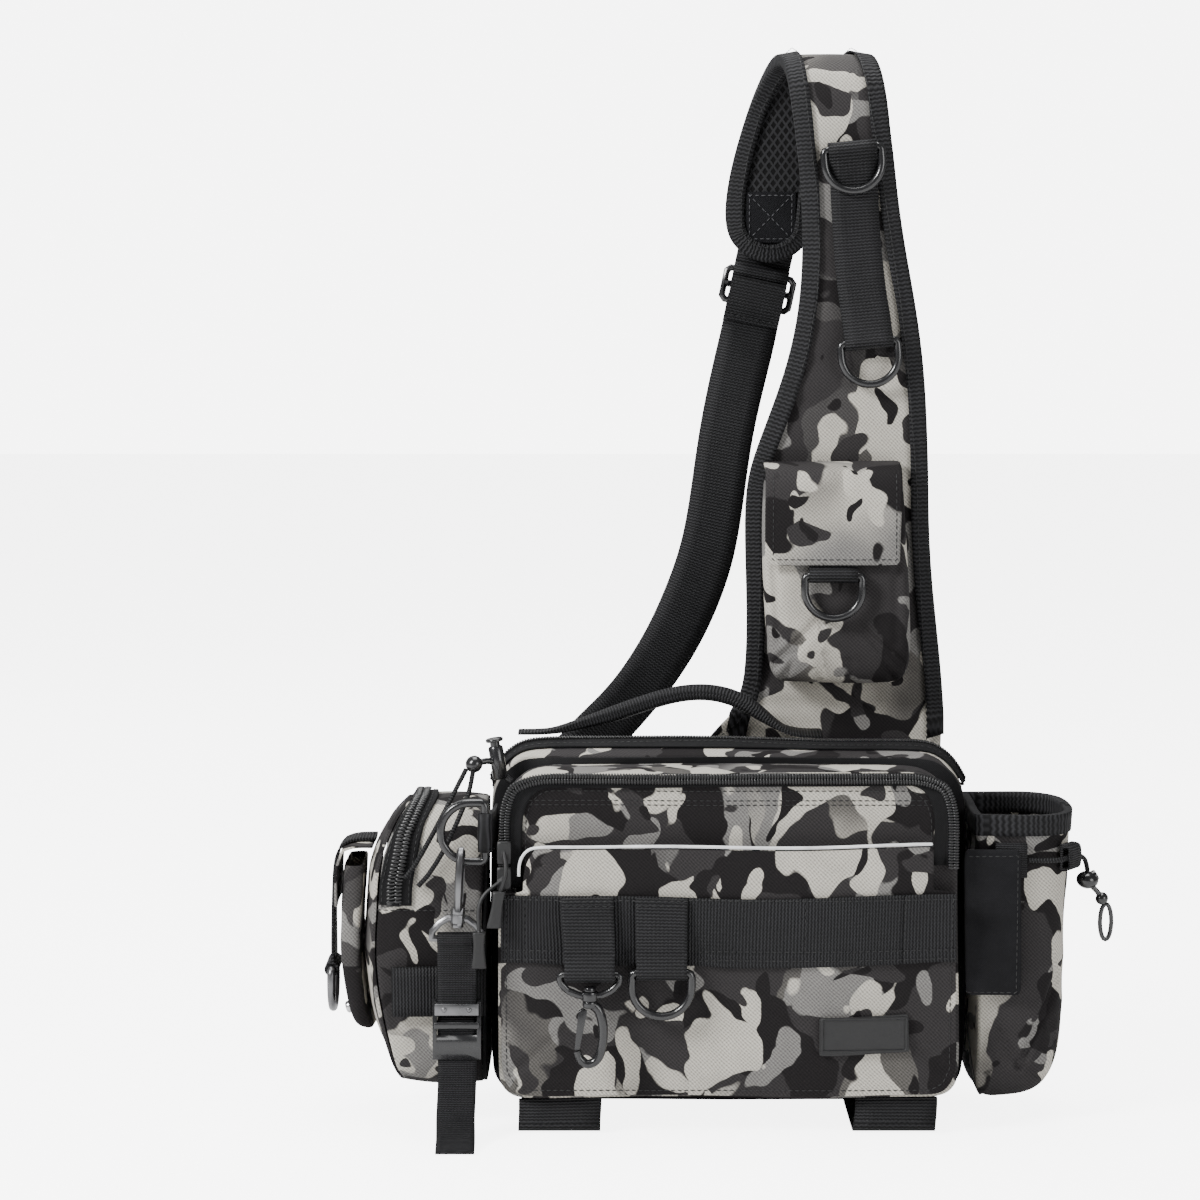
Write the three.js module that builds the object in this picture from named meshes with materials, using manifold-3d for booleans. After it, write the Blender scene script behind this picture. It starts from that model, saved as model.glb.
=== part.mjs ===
// Camouflage fishing sling bag with a side pouch, a bottle pocket and a padded shoulder strap.
// Millimetres, +Z up, +Y away from the front face, X to the right as seen from the front.
// The pieces are laid out from the floor under the bag and the middle of its width.
// One shift at the end moves the origin to the underside of the strap's top bend.

import * as THREE from 'three';
import { mergeVertices } from 'three/addons/utils/BufferGeometryUtils.js';
import Module from 'manifold-3d';

const wasm = await Module();
wasm.setup();

// Thicknesses and clearances
const GAP = 0.3;
const CLOTH = 2;
const POCKET_CLOTH = 1.6;
const WEB = 1.5;
const BACK_PAD = 4;

// The two compartments, each a rounded outline in X and Z with a front and a back in Y
const main = {
  left: -126, right: 126, bottom: 8.5, top: 193.5,
  bottomRadius: 22, topRadius: 28, front: -6, back: 50,
  topBulge: 5, sideBulge: 1,
};
const front = {
  left: -120.5, right: 118, bottom: 20, top: 190,
  bottomRadius: 12, topRadius: 28, front: -43.5, back: -8,
  topBulge: 1, sideBulge: 0.8,
};

// The front face swells from a flat border that carries the zip
const frontFace = { y: front.front - GAP - CLOTH, border: 13, rise: 32, crown: 3.2 };

// The patch pocket hangs open at its top
const patchPocket = { top: 152.7, mouthGap: 6, mouthStart: 60, belly: 1.6 };

// Flat webbing band across the pocket, and the two loops sewn on it
const molle = { bottom: 92, top: 128.5, thickness: 1.4 };
const loopWidth = 26;
const hookLoopX = -73;
const ringLoopX = -36;
const loopTop = 128;
const loopBarZ = 89;

// Moulded D-ring for the same webbing
const dRing = { halfWidth: 15.4, straight: 7.5, wire: 2.1 };

// Eye of webbing that is folded around a bar
const eye = { hole: 2.5, outer: 4, standoff: 5.3, hookStandoff: 10 };

// Left pouch, a rounded outline in Y and Z that reaches out to the left
const pouch = {
  left: -34, right: 44, bottom: 22, top: 170, bottomRadius: 16, topRadius: 32,
  wallX: main.left - 1.3, bulge: 1.6, crown: 5.5,
};
const pouchReach = [
  { z: 22, x: -170 },
  { z: 32, x: -175 },
  { z: 53, x: -180 },
  { z: 89, x: -185 },
  { z: 130, x: -184 },
  { z: 155, x: -178 },
  { z: 170, x: -168 },
];

// Bottle pocket on the right, open at the top
const bottle = { wallX: main.right + 2.8, top: 165, rim: 9.5 };

// Padded shoulder strap: up at the back, over a half round bend and down behind itself
const strap = {
  frontY: 60, bend: 28, foot: 160, bendZ: 536, half: 3.3, edgeHalf: 1.5,
  binding: 8.5, bindingCloth: 1, bindingAir: 0.8,
};
const bindingOff = strap.half + strap.bindingAir + strap.bindingCloth;
const strapRise = strap.bendZ - strap.foot;
const strapBend = Math.PI * strap.bend;

// Underside of the strap's top bend, where a shoulder or a peg carries the bag
const hang = { x: 54, y: strap.frontY + strap.bend, z: strap.bendZ + strap.bend - strap.half };

// Facets around a compartment's corner and along its side
const arcSteps = 4;
const sideSteps = 2;

const point = (x, y, z) => new THREE.Vector3(x, y, z);
const lerp = THREE.MathUtils.lerp;
const smooth = THREE.MathUtils.smoothstep;
const radians = THREE.MathUtils.degToRad;

// Value of a column of a table at a key, straight between its rows
function lookUp(table, key, column, value) {
  if (value <= table[0][key]) {
    return table[0][column];
  }
  for (let i = 1; i < table.length; i += 1) {
    const low = table[i - 1];
    const high = table[i];
    if (value <= high[key]) {
      return lerp(low[column], high[column], (value - low[key]) / (high[key] - low[key]));
    }
  }
  return table[table.length - 1][column];
}

function volumeOf(points, faces) {
  let total = 0;
  for (const [a, b, c] of faces) {
    total += points[a].dot(new THREE.Vector3().crossVectors(points[b], points[c])) / 6;
  }
  return total;
}

function bodyFrom(points, faces) {
  const turned = volumeOf(points, faces) < 0;
  const geometry = new THREE.BufferGeometry();
  geometry.setAttribute(
    'position',
    new THREE.Float32BufferAttribute(points.flatMap((p) => [p.x, p.y, p.z]), 3),
  );
  geometry.setIndex(faces.flatMap(([a, b, c]) => (turned ? [a, c, b] : [a, b, c])));
  return geometry;
}

// Triangles over a flat closed section, wound the way the section runs
function capFaces(section, offset) {
  const normal = new THREE.Vector3();
  section.forEach((p, i) => {
    const q = section[(i + 1) % section.length];
    normal.add(new THREE.Vector3().crossVectors(p, q));
  });
  const across = Math.abs(normal.x) > Math.abs(normal.z) || Math.abs(normal.y) > Math.abs(normal.z)
    ? (Math.abs(normal.x) > Math.abs(normal.y) ? 'x' : 'y')
    : 'z';
  const flat = section.map((p) => {
    if (across === 'x') {
      return new THREE.Vector2(p.y, p.z);
    }
    return across === 'y' ? new THREE.Vector2(p.z, p.x) : new THREE.Vector2(p.x, p.y);
  });
  const ringSign = Math.sign(THREE.ShapeUtils.area(flat));
  return THREE.ShapeUtils.triangulateShape(flat, []).map(([a, b, c]) => {
    const sign = Math.sign(THREE.ShapeUtils.area([flat[a], flat[b], flat[c]]));
    const face = sign === ringSign ? [a, b, c] : [a, c, b];
    return face.map((i) => i + offset);
  });
}

// Skin through closed sections with equal numbers of points
function loft(sections, closedPath = false) {
  const count = sections[0].length;
  const faces = [];
  const spans = closedPath ? sections.length : sections.length - 1;
  for (let s = 0; s < spans; s += 1) {
    const a = s * count;
    const b = ((s + 1) % sections.length) * count;
    for (let i = 0; i < count; i += 1) {
      const j = (i + 1) % count;
      faces.push([a + i, a + j, b + j], [a + i, b + j, b + i]);
    }
  }
  if (!closedPath) {
    const last = (sections.length - 1) * count;
    faces.push(...capFaces(sections[0], 0).map(([a, b, c]) => [a, c, b]));
    faces.push(...capFaces(sections[sections.length - 1], last));
  }
  return bodyFrom(sections.flat(), faces);
}

function plainGeometry(geometry) {
  const bare = geometry.clone();
  bare.deleteAttribute('normal');
  bare.deleteAttribute('uv');
  return mergeVertices(bare, 1e-4);
}

function manifoldOf(geometry) {
  const bare = plainGeometry(geometry);
  return new wasm.Manifold(new wasm.Mesh({
    numProp: 3,
    vertProperties: new Float32Array(bare.attributes.position.array),
    triVerts: new Uint32Array(bare.index.array),
  }));
}

function geometryOf(manifold) {
  const mesh = manifold.getMesh();
  const geometry = new THREE.BufferGeometry();
  geometry.setAttribute('position', new THREE.BufferAttribute(mesh.vertProperties, 3));
  geometry.setIndex(new THREE.BufferAttribute(mesh.triVerts, 1));
  return geometry;
}

function unite(...geometries) {
  return geometryOf(geometries.map(manifoldOf).reduce((sum, next) => sum.add(next)));
}

function box(minimum, maximum) {
  const size = maximum.map((value, i) => value - minimum[i]);
  const centre = maximum.map((value, i) => (value + minimum[i]) / 2);
  return new THREE.BoxGeometry(...size).translate(...centre);
}

// Round bar between two points
function bar(from, to, radius, sides = 8) {
  const length = from.distanceTo(to);
  const turn = new THREE.Quaternion().setFromUnitVectors(
    point(0, 1, 0),
    to.clone().sub(from).normalize(),
  );
  const middle = from.clone().add(to).multiplyScalar(0.5);
  return new THREE.CylinderGeometry(radius, radius, length, sides)
    .applyQuaternion(turn)
    .translate(middle.x, middle.y, middle.z);
}

// Round cord along a smooth line through the given points
function cord(points, radius, sides, steps) {
  const section = new THREE.Shape();
  for (let i = 0; i < sides; i += 1) {
    const angle = (2 * Math.PI * i) / sides;
    const at = [radius * Math.cos(angle), radius * Math.sin(angle)];
    if (i === 0) {
      section.moveTo(...at);
    } else {
      section.lineTo(...at);
    }
  }
  section.closePath();
  const extrudePath = new THREE.CatmullRomCurve3(points, false, 'centripetal');
  return new THREE.ExtrudeGeometry(section, { steps, extrudePath });
}

// Points and outward directions around a rounded rectangle, clockwise from the top left corner
function roundedOutline(shape, turns, spans) {
  const { left, right, bottom, top, bottomRadius, topRadius } = shape;
  const corners = [
    { a: left + topRadius, b: top - topRadius, radius: topRadius, start: 180 },
    { a: right - topRadius, b: top - topRadius, radius: topRadius, start: 90 },
    { a: right - bottomRadius, b: bottom + bottomRadius, radius: bottomRadius, start: 0 },
    { a: left + bottomRadius, b: bottom + bottomRadius, radius: bottomRadius, start: -90 },
  ];
  const outline = [];
  corners.forEach((corner, index) => {
    for (let i = 0; i <= turns; i += 1) {
      const angle = radians(corner.start - (90 * i) / turns);
      const na = Math.cos(angle);
      const nb = Math.sin(angle);
      outline.push({ a: corner.a + corner.radius * na, b: corner.b + corner.radius * nb, na, nb });
    }
    const next = corners[(index + 1) % corners.length];
    const from = outline[outline.length - 1];
    const toA = next.a + next.radius * from.na;
    const toB = next.b + next.radius * from.nb;
    for (let i = 1; i < spans; i += 1) {
      const t = i / spans;
      outline.push({ a: lerp(from.a, toA, t), b: lerp(from.b, toB, t), na: from.na, nb: from.nb });
    }
  });
  return outline;
}

// Rows of a plate with that outline: heights, and the left and right ends at each
function outlineRows(shape, turns, middleHeights) {
  const { left, right, bottom, top, bottomRadius, topRadius } = shape;
  const rows = [];
  for (let i = 0; i <= turns; i += 1) {
    const angle = radians((90 * i) / turns);
    const inset = bottomRadius * (1 - Math.sin(angle));
    rows.push({ z: bottom + bottomRadius * (1 - Math.cos(angle)), left: left + inset, right: right - inset });
  }
  middleHeights.forEach((z) => rows.push({ z, left, right }));
  for (let i = turns; i >= 0; i -= 1) {
    const angle = radians((90 * i) / turns);
    const inset = topRadius * (1 - Math.sin(angle));
    rows.push({ z: top - topRadius * (1 - Math.cos(angle)), left: left + inset, right: right - inset });
  }
  return rows;
}

// Cloth panel over rows: one face at faceAt(x, z), the other behind it by the thickness
function panel(rows, columns, faceAt, thickness, place) {
  const sections = rows.map((row) => {
    const xs = columns.map((t) => lerp(row.left, row.right, t));
    const near = xs.map((x) => place(x, faceAt(x, row.z), row.z));
    const far = xs.map((x) => place(x, faceAt(x, row.z) + thickness, row.z)).reverse();
    return [...near, ...far];
  });
  return loft(sections);
}

const facingFront = (x, depth, z) => point(x, depth, z);
const facingLeft = (y, depth, z) => point(depth, y, z);

// How far the bowed side wall of a compartment stands out at a depth from 0 to 1
const bowRows = [
  { t: 0, out: 0 },
  { t: 0.25, out: 0.85 },
  { t: 0.65, out: 1 },
  { t: 1, out: 0 },
];
const bow = (t) => lookUp(bowRows, 't', 'out', t);

function bulgeAt(shape, place) {
  return lerp(shape.sideBulge, shape.topBulge, Math.max(0, place.nb) ** 2);
}

// Wire through the given points, its section turned with the line and one side kept along Y
function wireThrough(points, radius, sides) {
  return loft(points.map((p, i) => {
    const before = points[Math.max(0, i - 1)];
    const after = points[Math.min(points.length - 1, i + 1)];
    const way = after.clone().sub(before).normalize();
    const out = new THREE.Vector3().crossVectors(way, point(0, 1, 0)).normalize();
    const over = new THREE.Vector3().crossVectors(out, way);
    const section = [];
    for (let k = 0; k < sides; k += 1) {
      const angle = (2 * Math.PI * (k + 0.5)) / sides;
      section.push(p.clone()
        .addScaledVector(out, radius * Math.cos(angle))
        .addScaledVector(over, radius * Math.sin(angle)));
    }
    return section;
  }));
}

// Closed wall around a compartment
function gusset(shape, turns, spans) {
  const from = shape.front;
  const to = shape.back - GAP;
  const sections = roundedOutline(shape, turns, spans).map((p) => {
    const at = (t, inward) => {
      const out = bulgeAt(shape, p) * bow(t) - inward;
      return point(p.a + p.na * out, lerp(from, to, t), p.b + p.nb * out);
    };
    const outer = bowRows.map((row) => at(row.t, 0));
    const inner = bowRows.map((row) => at(row.t, CLOTH)).reverse();
    return [...outer, ...inner];
  });
  return loft(sections, true);
}

// Strip that lies on a compartment's wall between two places of its outline
function stripOnGusset(shape, outline, profile) {
  const depth = shape.back - GAP - shape.front;
  const sections = outline.map((p) => profile.map((row) => {
    const base = bulgeAt(shape, p) * bow((row.y - shape.front) / depth) + GAP;
    const out = base + row.out;
    return point(p.a + p.na * out, row.y, p.b + p.nb * out);
  }));
  return loft(sections);
}

// Part of an outline from its left side, over the top, to its right side, above two heights
function archOf(shape, turns, spans, leftEnd, rightEnd) {
  const { left, right, top, topRadius } = shape;
  const ends = (x, from, to, na) => {
    const list = [];
    const steps = 2;
    for (let i = 0; i < steps; i += 1) {
      list.push({ a: x, b: lerp(from, to, i / steps), na, nb: 0 });
    }
    return list;
  };
  const side = top - topRadius;
  const over = roundedOutline(shape, turns, spans).slice(0, 2 * (turns + 1) + spans - 1);
  const up = leftEnd < side ? ends(left, leftEnd, side, -1) : [];
  const down = rightEnd < side ? ends(right, rightEnd, side, 1).reverse() : [];
  return [...up, ...over.filter((p) => p.b > (p.na < 0 ? leftEnd : rightEnd)), ...down];
}

// Swell of the front face between its flat borders
function faceSwell(x, z, border, rise) {
  const fromEdge = (distance) => smooth(distance, border, border + rise);
  return fromEdge(x - front.left) * fromEdge(front.right - x)
    * fromEdge(z - front.bottom + border / 2) * fromEdge(front.top - z);
}

function frontFaceY(x, z) {
  return frontFace.y - frontFace.crown * faceSwell(x, z, frontFace.border, frontFace.rise);
}

function patchPocketY(x, z) {
  const open = patchPocket.mouthGap * smooth(z, patchPocket.mouthStart, patchPocket.top);
  const belly = patchPocket.belly * faceSwell(x, z, 0, 2 * frontFace.rise);
  return frontFaceY(x, z) - 0.8 - POCKET_CLOTH - open - belly;
}

const wideColumns = [0, 0.055, 0.13, 0.26, 0.5, 0.74, 0.87, 0.945, 1];

function backPanel() {
  const swell = (x, z) => {
    const across = smooth(x - main.left, 0, 40) * smooth(main.right - x, 0, 40);
    return 2.3 * across * smooth(z - main.bottom, 0, 40) * smooth(main.top - z, 0, 40);
  };
  const rows = outlineRows(main, 3, [60, 100, 140]);
  const columns = [0, 0.12, 0.3, 0.5, 0.7, 0.88, 1];
  return panel(rows, columns, (x, z) => main.back + swell(x, z), BACK_PAD, facingFront);
}

function mainFrontWall() {
  return panel(outlineRows(main, 4, []), [0, 1], () => front.back, CLOTH - GAP, facingFront);
}

function mainZip() {
  const centre = 15;
  const tape = 11;
  const coil = 3;
  const depth = main.back - GAP - main.front;
  const bends = [main.front + bowRows[2].t * depth, main.front + bowRows[1].t * depth];
  const profile = [
    { y: centre - tape, out: 0 },
    { y: centre - tape, out: 0.9 },
    { y: centre - coil - 1, out: 0.9 },
    { y: centre - coil, out: 2.1 },
    { y: centre + coil, out: 2.1 },
    { y: centre + coil + 1, out: 0.9 },
    { y: centre + tape, out: 0.9 },
    { y: centre + tape, out: 0 },
    ...bends.filter((y) => Math.abs(y - centre) < tape).map((y) => ({ y, out: 0 })),
  ];
  return stripOnGusset(main, archOf(main, arcSteps, sideSteps, 174, 170), profile);
}

function frontZip() {
  const back = frontFace.y - GAP;
  const profile = [
    { y: back, out: -12.5 },
    { y: back - 1, out: -12.5 },
    { y: back - 1, out: -6.8 },
    { y: back - 2.4, out: -6 },
    { y: back - 2.4, out: -1.2 },
    { y: back - 1, out: -0.4 },
    { y: back, out: -0.4 },
  ];
  const sections = archOf(front, 6, sideSteps, 131, 142).map((p) => profile.map((row) => (
    point(p.a + p.na * row.out, row.y, p.b + p.nb * row.out)
  )));
  return loft(sections);
}

function frontPanel() {
  return panel(
    outlineRows(front, 3, [50, 85, 128, 148]), wideColumns, frontFaceY, CLOTH, facingFront,
  );
}

const patchPocketRows = [
  { z: 21.5, left: -109, right: 107 },
  { z: 25, left: -115, right: 112.5 },
  { z: 33, left: -119, right: 116.5 },
  { z: 50, left: -119, right: 116.5 },
  { z: 70, left: -119, right: 116.5 },
  { z: 92, left: -119, right: 116.5 },
  { z: 110, left: -119, right: 116.5 },
  { z: 128.5, left: -119, right: 116.5 },
  { z: 130.5, left: -107.3, right: 104.8 },
  { z: 143, left: -107.3, right: 104.8 },
  { z: patchPocket.top, left: -101, right: 104 },
];

function patchPocketPanel() {
  return panel(patchPocketRows, wideColumns, patchPocketY, POCKET_CLOTH, facingFront);
}

// Cord piping over the pocket's mouth, turned down at its left end
function reflectivePiping() {
  const radius = 1.3;
  const lift = radius + GAP;
  const route = [
    { x: -109.5, z: 138 },
    { x: -109.5, z: 143.8 },
    { x: -108.3, z: 148.2 },
    { x: -105.4, z: 152 },
    { x: -101, z: patchPocket.top + lift },
    { x: -80, z: patchPocket.top + lift },
    { x: -60, z: patchPocket.top + lift },
    { x: -20, z: patchPocket.top + lift },
    { x: 20, z: patchPocket.top + lift },
    { x: 60, z: patchPocket.top + lift },
    { x: 104, z: patchPocket.top + lift },
  ];
  const line = route.map((row) => point(row.x, patchPocketY(row.x, row.z) + 0.2, row.z));
  return wireThrough(line, radius, 6);
}

function molleBand() {
  const rows = [molle.bottom, 110, molle.top].map((z) => ({ z, left: -119, right: 116.5 }));
  const faceAt = (x, z) => patchPocketY(x, z) - 0.4 - molle.thickness;
  return panel(rows, wideColumns, faceAt, molle.thickness, facingFront);
}

const ringDepth = patchPocketY(ringLoopX, loopBarZ) - eye.standoff;
const hookDepth = patchPocketY(hookLoopX, loopBarZ) - eye.hookStandoff;

// Section of webbing that lies flat and ends in an eye around a bar, drawn in depth and height
function eyeSection({ depth, height, back, top, knee = 10, from = 150, to = 390, tip = 1.1 }) {
  const shape = new THREE.Shape();
  shape.moveTo(back, top);
  shape.lineTo(back - WEB, top);
  shape.lineTo(back - WEB, height + knee);
  const steps = 9;
  for (let i = 0; i <= steps; i += 1) {
    const angle = radians(lerp(from, to, i / steps));
    shape.lineTo(depth + eye.outer * Math.cos(angle), height + eye.outer * Math.sin(angle));
  }
  shape.lineTo(back, height + eye.outer * tip);
  shape.closePath();
  const hole = new THREE.Path();
  hole.absarc(depth, height, eye.hole, 0, 2 * Math.PI, true);
  shape.holes.push(hole);
  return shape;
}

// Extrudes a section that is drawn in depth and height across a width along X
function acrossX(shape, centreX, width, curveSegments = 5) {
  const solid = new THREE.ExtrudeGeometry(shape, { depth: width, bevelEnabled: false, curveSegments });
  const turn = new THREE.Matrix4().makeBasis(point(0, 1, 0), point(0, 0, 1), point(1, 0, 0));
  return solid.applyMatrix4(turn).translate(centreX - width / 2, 0, 0);
}

function sewnLoop(centreX, depth) {
  const ends = [centreX - loopWidth / 2, centreX + loopWidth / 2];
  const carrier = Math.min(...ends.map((x) => patchPocketY(x, loopTop)));
  const back = carrier - 0.4 - molle.thickness - GAP;
  const tip = depth < ringDepth - 1 ? 2.4 : 1.1;
  const section = eyeSection({ depth, height: loopBarZ, back, top: loopTop, tip });
  return acrossX(section, centreX, loopWidth);
}

// Round wire bent around a flat closed line, drawn in X and Z at Y 0
function wireLoop(line, radius, sides = 6) {
  const sections = line.map((p, i) => {
    const before = line[(i + line.length - 1) % line.length];
    const after = line[(i + 1) % line.length];
    const inLine = new THREE.Vector2(p.x - before.x, p.z - before.z).normalize();
    const outLine = new THREE.Vector2(after.x - p.x, after.z - p.z).normalize();
    const along = inLine.clone().add(outLine).normalize();
    const miter = 1 / Math.max(0.5, along.dot(outLine));
    const section = [];
    for (let k = 0; k < sides; k += 1) {
      const angle = (2 * Math.PI * (k + 0.5)) / sides;
      const out = radius * miter * Math.cos(angle);
      section.push(point(p.x - along.y * out, radius * Math.sin(angle), p.z + along.x * out));
    }
    return section;
  });
  return loft(sections, true);
}

// D-ring with its bar's axis along X through the origin and its bow hanging down
function dRingBody({ halfWidth = dRing.halfWidth, straight = dRing.straight, wire = dRing.wire }) {
  const corner = 2;
  const line = [
    { x: -halfWidth + corner, z: 0 },
    { x: 0, z: 0 },
    { x: halfWidth - corner, z: 0 },
    { x: halfWidth, z: -corner },
  ];
  const steps = 8;
  for (let i = 0; i <= steps; i += 1) {
    const angle = radians(-(180 * i) / steps);
    line.push({ x: halfWidth * Math.cos(angle), z: -straight + halfWidth * Math.sin(angle) });
  }
  line.push({ x: -halfWidth, z: -corner });
  return wireLoop(line, wire);
}

// Eye of a swivel hook: a bar for the webbing over a bored boss for the stem
const swivel = { boss: 4, stem: 2, bore: 2.35, head: 3, headHeight: 2, bossHeight: 4.4, drop: 11 };

function hookEye(halfWidth) {
  const wire = 1.9;
  const shoulder = 5;
  const line = [
    { x: -halfWidth, z: 0 },
    { x: 0, z: 0 },
    { x: halfWidth, z: 0 },
    { x: halfWidth, z: -3.5 },
    { x: halfWidth - 3.5, z: -8 },
    { x: shoulder, z: -swivel.drop },
    { x: 0, z: -swivel.drop },
    { x: -shoulder, z: -swivel.drop },
    { x: -halfWidth + 3.5, z: -8 },
    { x: -halfWidth, z: -3.5 },
  ];
  const half = swivel.bossHeight / 2;
  const boss = bar(point(0, 0, -swivel.drop + half), point(0, 0, -swivel.drop - half), swivel.boss, 10);
  const bore = bar(point(0, 0, -swivel.drop + 5), point(0, 0, -swivel.drop - 5), swivel.bore, 8);
  const body = manifoldOf(wireLoop(line, wire)).add(manifoldOf(boss));
  return geometryOf(body.subtract(manifoldOf(bore)));
}

// Hook below the eye, drawn around the stem's axis with the eye's bar at height 0
const hookShape = { wire: 2.2, top: -swivel.drop - 2.5, gateY: 1 };
const hookLine = [
  { x: 0, down: 1 },
  { x: 4.5, down: 5 },
  { x: 6.6, down: 12 },
  { x: 6.8, down: 20 },
  { x: 5.4, down: 27.5 },
  { x: 2.6, down: 32 },
  { x: -1.6, down: 33.2 },
  { x: -5, down: 30.6 },
  { x: -6.4, down: 26.4 },
];
const gatePivot = { x: -3.4, down: 6.2 };

function stemSolid() {
  const headTop = -swivel.drop + swivel.bossHeight / 2 + GAP + swivel.headHeight;
  const stem = bar(point(0, 0, headTop), point(0, 0, hookShape.top - 3), swivel.stem, 8);
  const head = bar(point(0, 0, headTop), point(0, 0, headTop - swivel.headHeight), swivel.head, 8);
  const collar = bar(point(0, 0, hookShape.top), point(0, 0, hookShape.top - 3.4), 3.6, 8);
  return unite(stem, head, collar);
}

function hookBody() {
  const line = hookLine.map((row) => point(row.x, 0, hookShape.top - row.down));
  const bend = cord(line, hookShape.wire, 6, 13);
  const lug = bar(
    point(gatePivot.x, -hookShape.gateY, hookShape.top - gatePivot.down),
    point(gatePivot.x, hookShape.gateY, hookShape.top - gatePivot.down), 2.2, 8,
  );
  const web = box(
    [gatePivot.x, -hookShape.gateY, hookShape.top - gatePivot.down - 2],
    [1.5, hookShape.gateY, hookShape.top - 1.5],
  );
  const bore = bar(
    point(gatePivot.x, -4, hookShape.top - gatePivot.down),
    point(gatePivot.x, 4, hookShape.top - gatePivot.down), 0.95, 8,
  );
  const body = manifoldOf(unite(stemSolid(), bend, lug, web));
  return geometryOf(body.subtract(manifoldOf(bore)));
}

// Spring gate: two cheeks on a pin astride the lug, and a strip that closes on the hook's tip
function gateBody() {
  const z = hookShape.top - gatePivot.down;
  const tipZ = hookShape.top - 25.3;
  const inner = hookShape.gateY + GAP;
  const outer = inner + 0.9;
  const cheek = (near, far) => {
    const shape = new THREE.Shape();
    shape.moveTo(gatePivot.x - 2.1, z + 1);
    shape.lineTo(gatePivot.x, z + 2.1);
    shape.lineTo(gatePivot.x + 2.1, z + 0.6);
    shape.lineTo(gatePivot.x + 1.2, z - 4);
    shape.lineTo(-5.2, tipZ);
    shape.lineTo(-7.8, tipZ);
    shape.lineTo(gatePivot.x - 2.9, z - 4);
    shape.closePath();
    const solid = new THREE.ExtrudeGeometry(shape, { depth: far - near, bevelEnabled: false });
    return solid.rotateX(Math.PI / 2).translate(0, far, 0);
  };
  const strip = new THREE.Shape();
  strip.moveTo(gatePivot.x - 2.9, z - 4);
  strip.lineTo(gatePivot.x - 1.4, z - 4);
  strip.lineTo(-6.4, tipZ);
  strip.lineTo(-7.8, tipZ);
  strip.closePath();
  const spine = new THREE.ExtrudeGeometry(strip, { depth: 2 * inner + 0.4, bevelEnabled: false })
    .rotateX(Math.PI / 2)
    .translate(0, inner + 0.2, 0);
  const pin = bar(point(gatePivot.x, -outer + 0.1, z), point(gatePivot.x, outer - 0.1, z), 0.65, 8);
  return unite(cheek(inner, outer), cheek(-outer, -inner), spine, pin);
}

function rubberPatch() {
  const rows = [44.8, 55, 65].map((z) => ({ z, left: 45.7, right: 92.5 }));
  const faceAt = (x, z) => patchPocketY(x, z) - 0.5 - 1.8;
  return panel(rows, [0, 0.33, 0.66, 1], faceAt, 1.8, facingFront);
}

// Wide webbing that runs under the bag from the front compartment to the back
function footStrap(centreX) {
  const line = new THREE.Shape();
  const wall = 2;
  const frontY = -43.5;
  const backY = 46;
  const frontTop = front.bottom - front.sideBulge - GAP;
  const backTop = main.bottom - main.sideBulge - GAP;
  const round = 5;
  line.moveTo(frontY, frontTop);
  line.lineTo(frontY - 1.2, round);
  line.quadraticCurveTo(frontY - 1, 0, frontY + round, 0);
  line.lineTo(backY - round, 0);
  line.quadraticCurveTo(backY, 0, backY, round);
  line.lineTo(backY, backTop);
  line.lineTo(backY - wall, backTop);
  line.lineTo(backY - wall, round);
  line.quadraticCurveTo(backY - wall, wall, backY - round, wall);
  line.lineTo(frontY + round, wall);
  line.quadraticCurveTo(frontY + wall - 1, wall, frontY + wall - 1.2, round);
  line.lineTo(frontY + wall, frontTop);
  line.closePath();
  return acrossX(line, centreX, 43, 3);
}

// Carry handle of rolled webbing, flattened where it is sewn down at both ends
const handleRows = [
  { x: -112, z: 199.6, wide: 20, tall: 2.4 },
  { x: -100, z: 199.7, wide: 20, tall: 2.6 },
  { x: -90, z: 201, wide: 14, tall: 5 },
  { x: -78, z: 205, wide: 10, tall: 7 },
  { x: -62, z: 209.5, wide: 9, tall: 7.4 },
  { x: -45, z: 215.5, wide: 9, tall: 7.4 },
  { x: -28, z: 221, wide: 9, tall: 7.4 },
  { x: -12, z: 222.5, wide: 9, tall: 7.4 },
  { x: 3, z: 219, wide: 9, tall: 7.4 },
  { x: 18, z: 210, wide: 10, tall: 7 },
  { x: 28, z: 203, wide: 14, tall: 5 },
  { x: 38, z: 199.7, wide: 20, tall: 2.6 },
  { x: 52, z: 199.6, wide: 20, tall: 2.4 },
];

function carryHandle() {
  const centreY = 38;
  const sections = handleRows.map((row, i) => {
    const before = handleRows[Math.max(0, i - 1)];
    const after = handleRows[Math.min(handleRows.length - 1, i + 1)];
    const slope = Math.atan2(after.z - before.z, after.x - before.x);
    const section = [];
    const sides = 6;
    for (let k = 0; k < sides; k += 1) {
      const angle = (2 * Math.PI * (k + 0.5)) / sides;
      const up = (row.tall / 2) * Math.sin(angle);
      const y = centreY + (row.wide / 2) * Math.cos(angle) * 1.1;
      section.push(point(row.x - up * Math.sin(slope), y, row.z + up * Math.cos(slope)));
    }
    return section;
  });
  return loft(sections);
}

// Left pouch: outer seam at a height, and places on the pouch's side wall
const pouchSeamX = (z) => lookUp(pouchReach, 'z', 'x', z);
const pouchOutline = roundedOutline(pouch, arcSteps, 3);
const pouchBowRows = [
  { t: 0, out: 0 },
  { t: 0.3, out: 1 },
  { t: 0.7, out: 1 },
  { t: 1, out: 0 },
];
const pouchInnerX = pouch.wallX - CLOTH - GAP;

function pouchWallPoint(p, t, out) {
  const x = lerp(pouchInnerX, pouchSeamX(p.b), t);
  const bulge = pouch.bulge * lookUp(pouchBowRows, 't', 'out', t);
  return point(x, p.a + p.na * (bulge + out), p.b + p.nb * (bulge + out));
}

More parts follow.
